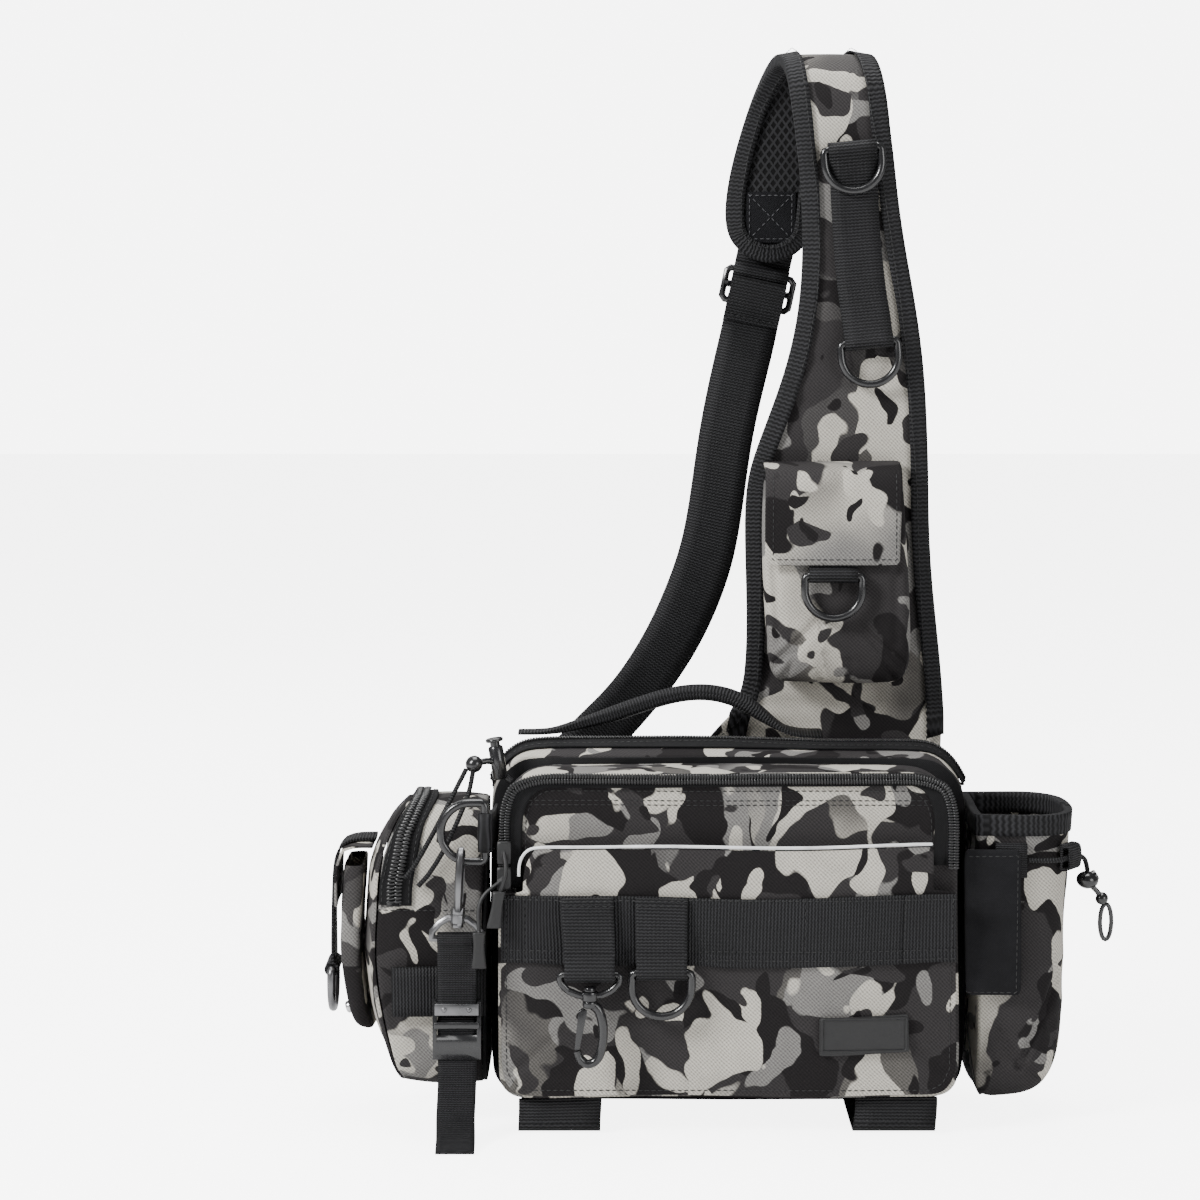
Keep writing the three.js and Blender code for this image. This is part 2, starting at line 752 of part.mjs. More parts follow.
function pouchGusset() {
  const sections = pouchOutline.map((p) => {
    const outer = pouchBowRows.map((row) => pouchWallPoint(p, row.t, 0));
    const inner = pouchBowRows.map((row) => pouchWallPoint(p, row.t, -CLOTH)).reverse();
    return [...outer, ...inner];
  });
  return loft(sections, true);
}

function pouchFaceX(y, z) {
  const across = smooth(y - pouch.left, 0, 26) * smooth(pouch.right - y, 0, 26);
  const up = smooth(z - pouch.bottom, 0, 34) * smooth(pouch.top - z, 0, 34);
  return pouchSeamX(z) - GAP - CLOTH - pouch.crown * across * up;
}

function pouchOuterPanel() {
  const rows = outlineRows(pouch, 3, [53, 89, 130]);
  return panel(rows, [0, 0.12, 0.3, 0.5, 0.7, 0.88, 1], pouchFaceX, CLOTH, facingLeft);
}

function pouchInnerWall() {
  return panel(outlineRows(pouch, 3, []), [0, 1], () => pouch.wallX - CLOTH, CLOTH, facingLeft);
}

function pouchZip() {
  const profile = [
    { t: 0.66, out: GAP },
    { t: 0.66, out: GAP + 0.9 },
    { t: 0.76, out: GAP + 0.9 },
    { t: 0.78, out: GAP + 2.1 },
    { t: 0.88, out: GAP + 2.1 },
    { t: 0.9, out: GAP + 0.9 },
    { t: 0.98, out: GAP + 0.9 },
    { t: 0.98, out: GAP },
    { t: 0.7, out: GAP },
  ];
  const arch = archOf(pouch, arcSteps, 3, 119, 119);
  return loft(arch.map((p) => profile.map((row) => pouchWallPoint(p, row.t, row.out))));
}

// Loop around a pocket seen from above: flat against its carrier, rounded at its free side
function pocketLoop({ inner, outer, near, far, radius, tight }, steps = 4) {
  const side = Math.sign(outer - inner);
  const corners = [
    { x: inner + side * tight, y: near + tight, r: tight, start: side > 0 ? 180 : 0 },
    { x: outer - side * radius, y: near + radius, r: radius, start: 270 },
    { x: outer - side * radius, y: far - radius, r: radius, start: side > 0 ? 0 : 180 },
    { x: inner + side * tight, y: far - tight, r: tight, start: 90 },
  ];
  const loop = [];
  corners.forEach((corner) => {
    for (let i = 0; i <= steps; i += 1) {
      const angle = radians(corner.start + (side * 90 * i) / steps);
      loop.push({ x: corner.x + corner.r * Math.cos(angle), y: corner.y + corner.r * Math.sin(angle) });
    }
  });
  return loop;
}

function shrink(row, by) {
  const side = Math.sign(row.outer - row.inner);
  return {
    ...row,
    inner: row.inner + side * by,
    outer: row.outer - side * by,
    near: row.near + by,
    far: row.far - by,
    radius: row.radius - by,
    tight: Math.max(0.3, row.tight - by),
  };
}

// Open pocket: wall and floor through rows from the bottom up
function openPocket(rows, wall, steps) {
  const ring = (row, z) => pocketLoop(row, steps).map((p) => point(p.x, p.y, z));
  const outside = rows.map((row) => ring(row, row.z));
  const innerZ = (row, i) => (i === 0 ? row.z + wall : Math.max(row.z, rows[0].z + wall));
  const inside = rows.map((row, i) => ring(shrink(row, wall), innerZ(row, i)));
  const kept = inside.filter((loop, i) => i === 0 || loop[0].z > rows[0].z + wall + 0.1);
  return loft([...outside, ...kept.reverse()]);
}

const bottleRows = [
  { z: 14, inner: bottle.wallX + 4, outer: 160, near: -22, far: 34, radius: 12, tight: 3 },
  { z: 19, inner: bottle.wallX + 1, outer: 169, near: -29, far: 40, radius: 18, tight: 3 },
  { z: 30, inner: bottle.wallX, outer: 175.5, near: -33, far: 43.5, radius: 22, tight: 3 },
  { z: 60, inner: bottle.wallX, outer: 178.5, near: -35, far: 45, radius: 24, tight: 3 },
  { z: 100, inner: bottle.wallX, outer: 179.5, near: -35.5, far: 45, radius: 25, tight: 3 },
  { z: 140, inner: bottle.wallX, outer: 180.5, near: -35.5, far: 45, radius: 25, tight: 3 },
  { z: bottle.top, inner: bottle.wallX, outer: 180.5, near: -35.5, far: 45, radius: 25, tight: 3 },
];

function bottlePocket() {
  return openPocket(bottleRows, CLOTH, 3);
}

// Binding folded over the bottle pocket's mouth, in a gap of air all round
function bottleRim() {
  const mouth = { ...bottleRows[bottleRows.length - 1], inner: bottle.wallX, radius: 25 };
  const wrap = 0.9;
  const top = bottle.top + GAP;
  const offsets = [
    { by: -GAP - wrap, z: top + wrap },
    { by: -GAP - wrap, z: bottle.top - bottle.rim },
    { by: -GAP, z: bottle.top - bottle.rim },
    { by: -GAP, z: top },
    { by: CLOTH + GAP, z: top },
    { by: CLOTH + GAP, z: bottle.top - bottle.rim },
    { by: CLOTH + GAP + wrap, z: bottle.top - bottle.rim },
    { by: CLOTH + GAP + wrap, z: top + wrap },
  ];
  const loops = offsets.map((row) => pocketLoop(shrink(mouth, row.by), 3));
  const sections = loops[0].map((_, i) => (
    offsets.map((row, k) => point(loops[k][i].x, loops[k][i].y, row.z))
  ));
  return loft(sections, true);
}

// Flat strip of cloth or webbing bent along a line drawn in depth and height, spread across
function bentStrip(line, across, thickness, place) {
  const sections = line.map((p, i) => {
    const before = line[Math.max(0, i - 1)];
    const after = line[Math.min(line.length - 1, i + 1)];
    const along = new THREE.Vector2(after.depth - before.depth, after.z - before.z).normalize();
    const nd = -along.y * (thickness / 2);
    const nz = along.x * (thickness / 2);
    return [
      place(across[0], p.depth - nd, p.z - nz),
      place(across[1], p.depth - nd, p.z - nz),
      place(across[1], p.depth + nd, p.z + nz),
      place(across[0], p.depth + nd, p.z + nz),
    ];
  });
  return loft(sections);
}

// Small pocket on the outside of the left pouch, its flap and the webbing over the flap
const sidePocketRows = [
  { z: 50, inner: -187, outer: -194.5, near: -15, far: 25, radius: 3.5, tight: 3 },
  { z: 54, inner: -188.2, outer: -199, near: -19, far: 29, radius: 5, tight: 3 },
  { z: 66, inner: -191, outer: -203, near: -21, far: 31, radius: 5.5, tight: 3 },
  { z: 90, inner: -193.3, outer: -205, near: -21, far: 31, radius: 5.5, tight: 3 },
  { z: 115, inner: -193.3, outer: -205, near: -21, far: 31, radius: 5.5, tight: 3 },
  { z: 136, inner: -192.2, outer: -203.5, near: -20, far: 30, radius: 5.3, tight: 3 },
];

const sideFlapLine = [
  { depth: -187.3, z: 146 },
  { depth: -198, z: 146.3 },
  { depth: -204.5, z: 144 },
  { depth: -207, z: 137 },
  { depth: -207.2, z: 126 },
  { depth: -207.2, z: 114 },
];

const leftBar = { x: -210.4, y: 5, z: 79 };

function sideFlapStrap() {
  const line = [
    { depth: -187, z: 148.2 },
    { depth: -199, z: 148.4 },
    { depth: -206, z: 145.8 },
    { depth: -209.3, z: 138 },
    { depth: -209.7, z: 125 },
    { depth: -209.8, z: 105 },
    { depth: -209.8, z: leftBar.z + eye.outer - 0.6 },
  ];
  const half = 12.5;
  const strip = bentStrip(line, [leftBar.y - half, leftBar.y + half], WEB, facingLeft);
  const ring = new THREE.Shape();
  ring.absarc(leftBar.x, leftBar.z, eye.outer, 0, 2 * Math.PI, false);
  const hole = new THREE.Path();
  hole.absarc(leftBar.x, leftBar.z, eye.hole, 0, 2 * Math.PI, true);
  ring.holes.push(hole);
  const tube = new THREE.ExtrudeGeometry(ring, { depth: 2 * half, bevelEnabled: false, curveSegments: 6 })
    .rotateX(Math.PI / 2)
    .translate(0, leftBar.y + half, 0);
  return unite(strip, tube);
}

// Webbing tab that sticks out of the seam between the bag and the left pouch
function sideTab() {
  const line = new THREE.Shape();
  const y = pouch.left - pouch.bulge - 0.3;
  line.moveTo(-127.5, y);
  line.lineTo(-150, y);
  line.lineTo(-171, y - 2.5);
  line.lineTo(-175, y - 1.5);
  line.lineTo(-176, y - 4.5);
  line.lineTo(-171, y - 6);
  line.lineTo(-127.5, y - 3);
  line.closePath();
  return new THREE.ExtrudeGeometry(line, { depth: 26, bevelEnabled: false }).translate(0, 0, 61.5);
}

// Neoprene tab on the bottle pocket, the cord's anchor behind it and the cord's guide
const tabY = bottleRows[4].near - 3.6;

function bottleTab() {
  return box([122, tabY - 3, 72], [151.5, tabY, 149]);
}

function cordAnchor() {
  return box([139, tabY + 0.4, 134], [155, tabY + 3.2, 152]);
}

// Webbing loop on the pocket's rounded corner, with the cord's way through it
const guide = { angle: radians(-35), out: 3.4, z: 143.5, width: 13 };

function guidePlace(along, out) {
  const mouth = bottleRows[bottleRows.length - 1];
  const reach = mouth.radius + guide.out + out;
  const x = mouth.outer - mouth.radius + reach * Math.cos(guide.angle) - along * Math.sin(guide.angle);
  const y = mouth.near + mouth.radius + reach * Math.sin(guide.angle) + along * Math.cos(guide.angle);
  return { x, y };
}

function cordGuide() {
  const shape = new THREE.Shape();
  const half = { depth: 3, z: 7 };
  shape.moveTo(-half.depth, -half.z);
  shape.lineTo(half.depth - 1.5, -half.z);
  shape.lineTo(half.depth, -half.z + 2.5);
  shape.lineTo(half.depth, half.z - 2.5);
  shape.lineTo(half.depth - 1.5, half.z);
  shape.lineTo(-half.depth, half.z);
  shape.closePath();
  const hole = new THREE.Path();
  const air = { depth: 1.7, z: 5.2 };
  hole.moveTo(-air.depth, -air.z);
  hole.lineTo(-air.depth, air.z);
  hole.lineTo(air.depth, air.z);
  hole.lineTo(air.depth, -air.z);
  hole.closePath();
  shape.holes.push(hole);
  const middle = guidePlace(0, 0);
  return acrossX(shape, 0, guide.width)
    .rotateZ(guide.angle + Math.PI / 2)
    .rotateZ(Math.PI)
    .translate(middle.x, middle.y, guide.z);
}

// Places on the shoulder strap: x across, the way along it from its foot, and a height off it
function strapPlace(x, along, off) {
  const { frontY, bend, bendZ, foot } = strap;
  if (along <= strapRise) {
    return point(x, frontY - off, foot + along);
  }
  if (along >= strapRise + strapBend) {
    return point(x, frontY + 2 * bend + off, bendZ - (along - strapRise - strapBend));
  }
  const angle = Math.PI - (along - strapRise) / bend;
  return point(x, frontY + bend + (bend + off) * Math.cos(angle), bendZ + (bend + off) * Math.sin(angle));
}

// Both edges of the strap along its length
const strapRows = [
  { along: 0, left: -24, right: 118 },
  { along: 34, left: -10, right: 118 },
  { along: 43, left: 1.5, right: 118 },
  { along: 54, left: 7.9, right: 117.3 },
  { along: 66, left: 11.6, right: 116.6 },
  { along: 135, left: 13.1, right: 112.8 },
  { along: 172, left: 13.9, right: 111.2 },
  { along: 191, left: 19.6, right: 109.6 },
  { along: 219, left: 29.8, right: 107.2 },
  { along: 246, left: 37.7, right: 104.7 },
  { along: 273, left: 42.4, right: 101.2 },
  { along: 299, left: 43.7, right: 97.1 },
  { along: 328, left: 42.4, right: 92.5 },
  { along: 358, left: 38.6, right: 87.6 },
  { along: 387, left: 35, right: 82.3 },
  { along: 398, left: 33.6, right: 80.2 },
  { along: 409, left: 32, right: 78.2 },
  { along: 420, left: 30, right: 76 },
  { along: 431, left: 27, right: 73.2 },
  { along: 442, left: 23.3, right: 69.8 },
  { along: 453, left: 19, right: 65.8 },
  { along: 464, left: 14.5, right: 61.4 },
  { along: 488, left: 7.6, right: 54.6 },
  { along: 510, left: 4, right: 50.6 },
  { along: 526, left: 4, right: 49.6 },
];
// Round end behind, as a half ellipse on the last row
const strapEndAngles = [30, 60, 84].map(radians);
const strapEnd = { along: 526, length: 20, left: 4, right: 49.6 };

function strapEndEdge(angle) {
  const centre = (strapEnd.left + strapEnd.right) / 2;
  const half = (strapEnd.right - strapEnd.left) / 2;
  return {
    x: centre - half * Math.cos(angle),
    along: strapEnd.along + strapEnd.length * Math.sin(angle),
  };
}

function shoulderPad() {
  const rows = strapRows.map((row) => ({ ...row }));
  for (const angle of strapEndAngles) {
    const left = strapEndEdge(angle);
    const right = strapEndEdge(Math.PI - angle);
    rows.push({ along: left.along, left: left.x, right: right.x });
  }
  const shoulder = strap.binding + 0.5;
  return loft(rows.map((row) => {
    const width = row.right - row.left;
    const inset = Math.min(shoulder, 0.35 * width);
    const places = [row.left, row.left + inset, row.left + width / 2, row.right - inset, row.right];
    const side = (sign) => places.map((x) => {
      const inward = Math.min(x - row.left, row.right - x, strapEnd.along + strapEnd.length - row.along);
      const off = lerp(strap.edgeHalf, strap.half, Math.min(1, inward / shoulder));
      return strapPlace(x, row.along, sign * off);
    });
    return [...side(1), ...side(-1).reverse()];
  }));
}

// Ribbed binding folded over the strap's edge, up one side, round the end and down the other
function shoulderBinding() {
  const skipped = 2;
  const leftEdge = strapRows.slice(skipped).map((row) => ({ x: row.left, along: row.along }));
  const rightEdge = strapRows.slice(skipped).map((row) => ({ x: row.right, along: row.along })).reverse();
  const end = [];
  strapEndAngles.forEach((angle) => end.push(strapEndEdge(angle)));
  strapEndAngles.toReversed().forEach((angle) => end.push(strapEndEdge(Math.PI - angle)));
  const edge = [...leftEdge, ...end, ...rightEdge];
  const wrap = strap.bindingCloth;
  const low = strap.edgeHalf + 2 * GAP;
  const high = strap.half + strap.bindingAir;
  const profile = [
    { inward: strap.binding, off: high + wrap },
    { inward: -GAP - wrap, off: low + wrap },
    { inward: -GAP - wrap, off: -low - wrap },
    { inward: strap.binding, off: -high - wrap },
    { inward: strap.binding, off: -high },
    { inward: -GAP, off: -low },
    { inward: -GAP, off: low },
    { inward: strap.binding, off: high },
  ];
  return loft(edge.map((p, i) => {
    const before = edge[Math.max(0, i - 1)];
    const after = edge[Math.min(edge.length - 1, i + 1)];
    const way = new THREE.Vector2(after.x - before.x, after.along - before.along).normalize();
    return profile.map((row) => (
      strapPlace(p.x + way.y * row.inward, p.along - way.x * row.inward, row.off)
    ));
  }));
}

// Ladder of webbing on the strap with a ring at each end, in its own leaning frame
const ladder = { x: 72.3, z: 462, half: 52, lean: radians(-5.4) };
const ladderBack = strap.frontY - bindingOff - GAP;
const ladderBarY = ladderBack - eye.outer - 0.3;

function strapWebbing() {
  const lower = acrossX(eyeSection({
    depth: ladderBarY, height: -ladder.half, back: ladderBack, top: 1,
  }), 0, loopWidth);
  const upper = lower.clone().applyMatrix4(new THREE.Matrix4().makeScale(-1, 1, -1));
  return unite(lower, upper, box([-loopWidth / 2, ladderBack - WEB, -6], [loopWidth / 2, ladderBack, 6]));
}

// Small pouch on the strap, its flap, and the webbing loop under the flap
const strapPouchBack = strap.frontY - bindingOff - GAP;
const strapPouchRows = [
  { z: 226, near: 41, far: strapPouchBack - 1, inner: 28, outer: 91, radius: 5, tight: 5 },
  { z: 230, near: 35, far: strapPouchBack, inner: 23.5, outer: 96.5, radius: 6, tight: 6 },
  { z: 240, near: 31, far: strapPouchBack, inner: 21, outer: 100, radius: 6, tight: 6 },
  { z: 262, near: 29.5, far: strapPouchBack, inner: 20.5, outer: 101, radius: 6, tight: 6 },
  { z: 290, near: 31, far: strapPouchBack, inner: 20.5, outer: 100.5, radius: 6, tight: 6 },
  { z: 318, near: 33.5, far: strapPouchBack, inner: 21, outer: 98, radius: 6, tight: 6 },
  { z: 336, near: 36, far: strapPouchBack, inner: 22, outer: 96, radius: 6, tight: 6 },
];
const strapFlapLine = [
  { depth: strapPouchBack + 0.2, z: 345 },
  { depth: 44, z: 345 },
  { depth: 35.5, z: 342.5 },
  { depth: 30.6, z: 336 },
  { depth: 28.6, z: 326 },
  { depth: 27.4, z: 310 },
  { depth: 27, z: 291.5 },
];
const pouchRing = { x: 57.3, y: 25.2, z: 286 };

function strapPouchLoop() {
  const section = eyeSection({
    depth: pouchRing.y, height: pouchRing.z, back: 30.3, top: 301, knee: 6, from: 60, tip: 0.9,
  });
  return acrossX(section, pouchRing.x, loopWidth);
}

// Adjuster where the strap's round end meets the long webbing, in its own leaning frame
const glide = {
  x: 20.5, y: strap.frontY + 2 * strap.bend + 2.8, z: 438,
  half: 19, tall: 18, wire: 2, lean: radians(12),
};
const longWebWidth = 31;

function triGlide() {
  const { half, tall, wire } = glide;
  const corner = 2;
  const line = [
    { x: -half + corner, z: tall / 2 },
    { x: half - corner, z: tall / 2 },
    { x: half, z: tall / 2 - corner },
    { x: half, z: -tall / 2 + corner },
    { x: half - corner, z: -tall / 2 },
    { x: -half + corner, z: -tall / 2 },
    { x: -half, z: -tall / 2 + corner },
    { x: -half, z: tall / 2 - corner },
  ];
  return unite(wireLoop(line, wire), bar(point(-half, 0, 0), point(half, 0, 0), wire, 6));
}

function shortWebbing() {
  const section = eyeSection({
    depth: 0, height: glide.tall / 2, back: eye.outer + 0.1, top: 34, knee: 3.04, from: 50, to: 360, tip: 0,
  });
  return acrossX(section, 0, longWebWidth);
}

// Route of the long webbing from the adjuster to the back of the bag, with its turn about itself
const longWebRows = [
  { x: 16.7, y: 118.8, z: 419.5, turn: 0 },
  { x: 14.6, y: 118, z: 409.5, turn: 0 },
  { x: 7, y: 112, z: 377, turn: 0 },
  { x: 2, y: 109, z: 352, turn: 0 },
  { x: -5.5, y: 103, z: 304, turn: 4 },
  { x: -14, y: 98, z: 276, turn: 10 },
  { x: -31, y: 88, z: 240, turn: 22 },
  { x: -52, y: 76, z: 211, turn: 30 },
  { x: -76, y: 66, z: 188, turn: 22 },
  { x: -94, y: 60, z: 165, turn: 8 },
  { x: -101, y: 57.4, z: 140, turn: 0 },
];

function longWebbing() {
  const route = longWebRows.map((row) => point(row.x, row.y, row.z));
  const curve = new THREE.CatmullRomCurve3(route, false, 'centripetal');
  const steps = 22;
  const sections = [];
  for (let i = 0; i <= steps; i += 1) {
    const t = i / steps;
    const centre = curve.getPoint(t);
    const way = curve.getTangent(t);
    const place = t * (longWebRows.length - 1);
    const low = Math.min(longWebRows.length - 2, Math.floor(place));
    const turn = radians(lerp(longWebRows[low].turn, longWebRows[low + 1].turn, place - low));
    const flat = point(1, 0, 0).addScaledVector(way, -way.x).normalize();
    const side = flat.applyAxisAngle(way, -turn).multiplyScalar(longWebWidth / 2);
    const thick = new THREE.Vector3().crossVectors(way, side).normalize().multiplyScalar(WEB / 2);
    sections.push([
      centre.clone().add(side).add(thick),
      centre.clone().sub(side).add(thick),
      centre.clone().sub(side).sub(thick),
      centre.clone().add(side).sub(thick),
    ]);
  }
  const fold = acrossX(eyeSection({
    depth: 0, height: glide.tall / 2, back: WEB / 2, top: 20.5, from: 120, tip: 1,
  }), 0, longWebWidth);
  fold.applyMatrix4(new THREE.Matrix4().makeScale(-1, 1, -1));
  fold.rotateY(glide.lean).translate(glide.x, glide.y, glide.z);
  return unite(loft(sections), fold);
}

// Corner ring at the bag's left edge and the webbing that holds it
const cornerBar = { x: -126.9, y: -50, z: 160.5 };

function cornerLoop() {
  const shape = new THREE.Shape();
  const sideX = front.left - front.sideBulge - GAP;
  shape.moveTo(sideX, -24);
  shape.lineTo(sideX - WEB, -24);
  shape.lineTo(sideX - WEB - 0.5, -42);
  const steps = 9;
  for (let i = 0; i <= steps; i += 1) {
    const angle = radians(lerp(150, 390, i / steps));
    shape.lineTo(cornerBar.x + eye.outer * Math.cos(angle), cornerBar.y + eye.outer * Math.sin(angle));
  }
  shape.lineTo(sideX, -44.5);
  shape.closePath();
  const hole = new THREE.Path();
  hole.absarc(cornerBar.x, cornerBar.y, eye.hole, 0, 2 * Math.PI, true);
  shape.holes.push(hole);
  return new THREE.ExtrudeGeometry(shape, { depth: 20, bevelEnabled: false, curveSegments: 5 })
    .translate(0, 0, cornerBar.z - 10);
}

// Swivel hook that hangs in the corner ring, with its webbing, buckle and tail
const sideHook = { x: -141.8, y: -50, z: 104.5, lean: radians(3), halfEye: 12.8 };
const sideWebWidth = 20;
const buckle = { x: -141.8, y: -50, top: 73, bottom: 42, half: 12.5, rail: 2.1, bar: 1.5 };

function sideHookBody() {
  const drop = swivel.drop;
  const pivotZ = hookShape.top - gatePivot.down;
  const rivet = bar(point(gatePivot.x, -1.6, pivotZ), point(gatePivot.x, 1.6, pivotZ), 1.2);
  const hook = unite(hookBody(), gateBody(), rivet);
  hook.rotateZ(Math.PI / 2);
  const washer = bar(point(0, 0, -drop - 3), point(0, 0, -drop), 3.4, 10);
  return unite(hookEye(sideHook.halfEye), hook, washer).rotateX(Math.PI);
}

function sideWebbing() {
  const reach = (sideHook.z - buckle.top + 3) / 2;
  const half = (height) => acrossX(eyeSection({
    depth: 0, height, back: WEB / 2, top: 0.5, from: 120, tip: 1,
  }), 0, sideWebWidth);
  const lower = half(-reach);
  const upper = lower.clone().applyMatrix4(new THREE.Matrix4().makeScale(-1, 1, -1));
  return unite(lower, upper).translate(0, 0, -reach);
}

function camBuckle() {
  const { half, rail, top, bottom, y } = buckle;
  const side = new THREE.Shape();
  side.moveTo(y - 3.2, top - 1);
  side.lineTo(y - 5, bottom + 18);
  side.lineTo(y - 6, bottom + 9);
  side.lineTo(y - 4, bottom);
  side.lineTo(y - 1.2, bottom + 0.6);
  side.lineTo(y + 3, bottom + 14);
  side.lineTo(y + 3, top - 1);
  side.lineTo(y + 1, top);
  side.closePath();
  const left = acrossX(side, -half + rail / 2, rail);
  const right = acrossX(side, half - rail / 2, rail);
  const bars = [
    bar(point(-half + 1, y, top - 3), point(half - 1, y, top - 3), 2, 8),
    bar(point(-half + 1, y, bottom + 18.5), point(half - 1, y, bottom + 18.5), 1.6, 8),
  ];
  const lever = new THREE.Shape();
  lever.moveTo(y - 4.4, bottom + 13);
  lever.lineTo(y - 6, bottom + 9);
  lever.lineTo(y - 4, bottom);
  lever.lineTo(y - 3, bottom);
  lever.lineTo(y - 4.4, bottom + 8);
  lever.closePath();
  return unite(left, right, ...bars, acrossX(lever, 0, 2 * half - 1));
}

const tailLine = [
  { depth: buckle.y + 2.6, z: buckle.bottom + 8 },
  { depth: buckle.y + 2.7, z: buckle.bottom + 18.5 },
  { depth: buckle.y + 1.8, z: buckle.bottom + 20.6 },
  { depth: buckle.y, z: buckle.bottom + 21.3 },
  { depth: buckle.y - 1.8, z: buckle.bottom + 20.6 },
  { depth: buckle.y - 2.7, z: buckle.bottom + 18.5 },
  { depth: buckle.y - 2.9, z: buckle.bottom + 10 },
  { depth: buckle.y - 1.8, z: buckle.bottom + 2 },
  { depth: buckle.y - 1.6, z: buckle.bottom - 8 },
  { depth: buckle.y - 4, z: buckle.bottom - 20 },
  { depth: buckle.y - 10, z: buckle.bottom - 31 },
  { depth: buckle.y - 20, z: buckle.bottom - 38 },
  { depth: buckle.y - 34, z: 1 },
];

// Cord with a barrel lock at the bag's top left corner, and its two cut ends
const rodLock = { x: -121.5, y: -17, z: 190.5 };
const rodKnot = point(-133.5, -24, 192);
const rodRoot = point(-114.2, rodLock.y, 181.8);

function rodCordLock() {
  const barrel = bar(point(0, 0, -10.5), point(0, 0, 7), 3.9, 10);
  const plunger = bar(point(0, 0, 6.9), point(0, 0, 9.6), 2.6, 8);
  const flange = bar(point(0, 0, 9.5), point(0, 0, 11.2), 4.5, 10);
  const { x, y, z } = rodLock;
  const body = unite(barrel, plunger, flange).rotateY(radians(-9)).translate(x, y, z + 3);
  const link = bar(point(x, y, z + 1), rodKnot, 2, 6);
  const root = bar(point(x, y, z - 2), rodRoot, 2, 6);
  const knot = new THREE.SphereGeometry(4.4, 8, 6).scale(1.15, 1, 0.9);
  knot.translate(rodKnot.x, rodKnot.y, rodKnot.z);
  return unite(body, link, root, knot);
}

const rodStrands = [
  {
    name: 'rod_cord_end_left',
    route: [
      [-137.7, -25.8, 189.3], [-142, -33.5, 181.5], [-147.5, -40, 171],
      [-155, -42, 157], [-163, -42, 143], [-169, -42, 135],
    ],
  },
  {
    name: 'rod_cord_end_right',
    route: [
      [-134, -26.7, 188.3], [-136, -34, 178.5], [-141, -41, 166],
      [-148, -43, 151], [-156, -43, 138], [-162, -43, 131],
    ],
  },
];
const rodCordRadius = 1.3;

// Zip pulls on the front zip: slider, a loop of cord and a moulded end
function zipPull({ slider, knee, head, tilt }) {
  const low = [slider.x - 3.6, slider.y - 2.4, slider.z - 6];
  const body = box(low, [slider.x + 3.6, slider.y, slider.z + 6]);
  const loop = cord([
    point(slider.x, slider.y - 2, slider.z), knee, point(head.x, head.y, head.z - 2),
  ], 1.2, 6, 8);
  const grip = loft([0, 5, 12, 19].map((down, i) => {
    const half = [3.4, 2.6, 3, 3.9][i];
    return [[-half, -2.2], [half, -2.2], [half, 2.2], [-half, 2.2]].map(([x, y]) => (
      point(head.x + x + tilt * down, head.y + y, head.z - down)
    ));
  }));
  return unite(body, loop, grip);
}

// Cord of the bottle pocket's mouth, its lock and its end
const lock = { x: 189.6, y: -13.5, z: 128.6 };
const guideIn = guidePlace(-8, 0.3);
const guideMiddle = guidePlace(0, 0);
const guideOut = guidePlace(8, 0.3);
const drawRoute = [
  [155.4, tabY + 1.8, guide.z],
  [164, tabY + 1.2, guide.z],
  [guideIn.x, guideIn.y, guide.z],
  [guideMiddle.x, guideMiddle.y, guide.z],
  [guideOut.x, guideOut.y, guide.z - 0.5],
  [187.6, -15.5, guide.z - 3.5],
  [lock.x, lock.y, lock.z + 5],
];

function drawcordLock() {
  const body = new THREE.SphereGeometry(5.6, 8, 5).scale(1.08, 0.8, 0.82).translate(lock.x, lock.y, lock.z);
  const button = bar(point(lock.x, lock.y, lock.z), point(lock.x + 5, lock.y, lock.z + 3), 3.1, 8);
  const knotPlace = point(lock.x + 7.8, lock.y, lock.z - 10);
  const link = bar(point(lock.x + 1, lock.y, lock.z - 2), knotPlace, 1.6, 6);
  const knot = new THREE.SphereGeometry(3.4, 6, 4).translate(...knotPlace.toArray());
  const loopLine = [];
  const steps = 10;
  for (let i = 0; i < steps; i += 1) {
    const angle = (2 * Math.PI * i) / steps;
    loopLine.push({ x: 3 * Math.sin(angle), z: 9.6 * Math.cos(angle) });
  }
  const end = wireLoop(loopLine, 1.2, 6).translate(lock.x + 10, lock.y, lock.z - 22.5);
  return unite(body, button, link, knot, end);
}

const finishes = {
  camouflage: { color: 0x8a8884, roughness: 0.85, metalness: 0 },
  darkCloth: { color: 0x2a2a2c, roughness: 0.9, metalness: 0 },
  webbing: { color: 0x1b1b1d, roughness: 0.85, metalness: 0 },
  mesh: { color: 0x1f1f21, roughness: 0.95, metalness: 0 },
  zip: { color: 0x26262a, roughness: 0.55, metalness: 0 },
  plastic: { color: 0x202124, roughness: 0.45, metalness: 0 },
  gunmetal: { color: 0x53545a, roughness: 0.35, metalness: 0.9 },
  rubber: { color: 0x17171a, roughness: 0.7, metalness: 0 },
  reflective: { color: 0xe2e2e0, roughness: 0.4, metalness: 0 },
  neoprene: { color: 0x19191c, roughness: 0.95, metalness: 0 },
};

const bag = new THREE.Group();
bag.position.set(-hang.x, -hang.y, -hang.z);

function add(name, geometry, finish, parent = bag) {
  const material = new THREE.MeshStandardMaterial({ name: finish, ...finishes[finish] });
  const mesh = new THREE.Mesh(geometry, material);
  mesh.name = name;
  parent.add(mesh);
  return mesh;
}

function addGroup(x, y, z, lean) {
  const group = new THREE.Group();
  group.position.set(x, y, z);
  group.rotation.y = lean;
  bag.add(group);
  return group;
}

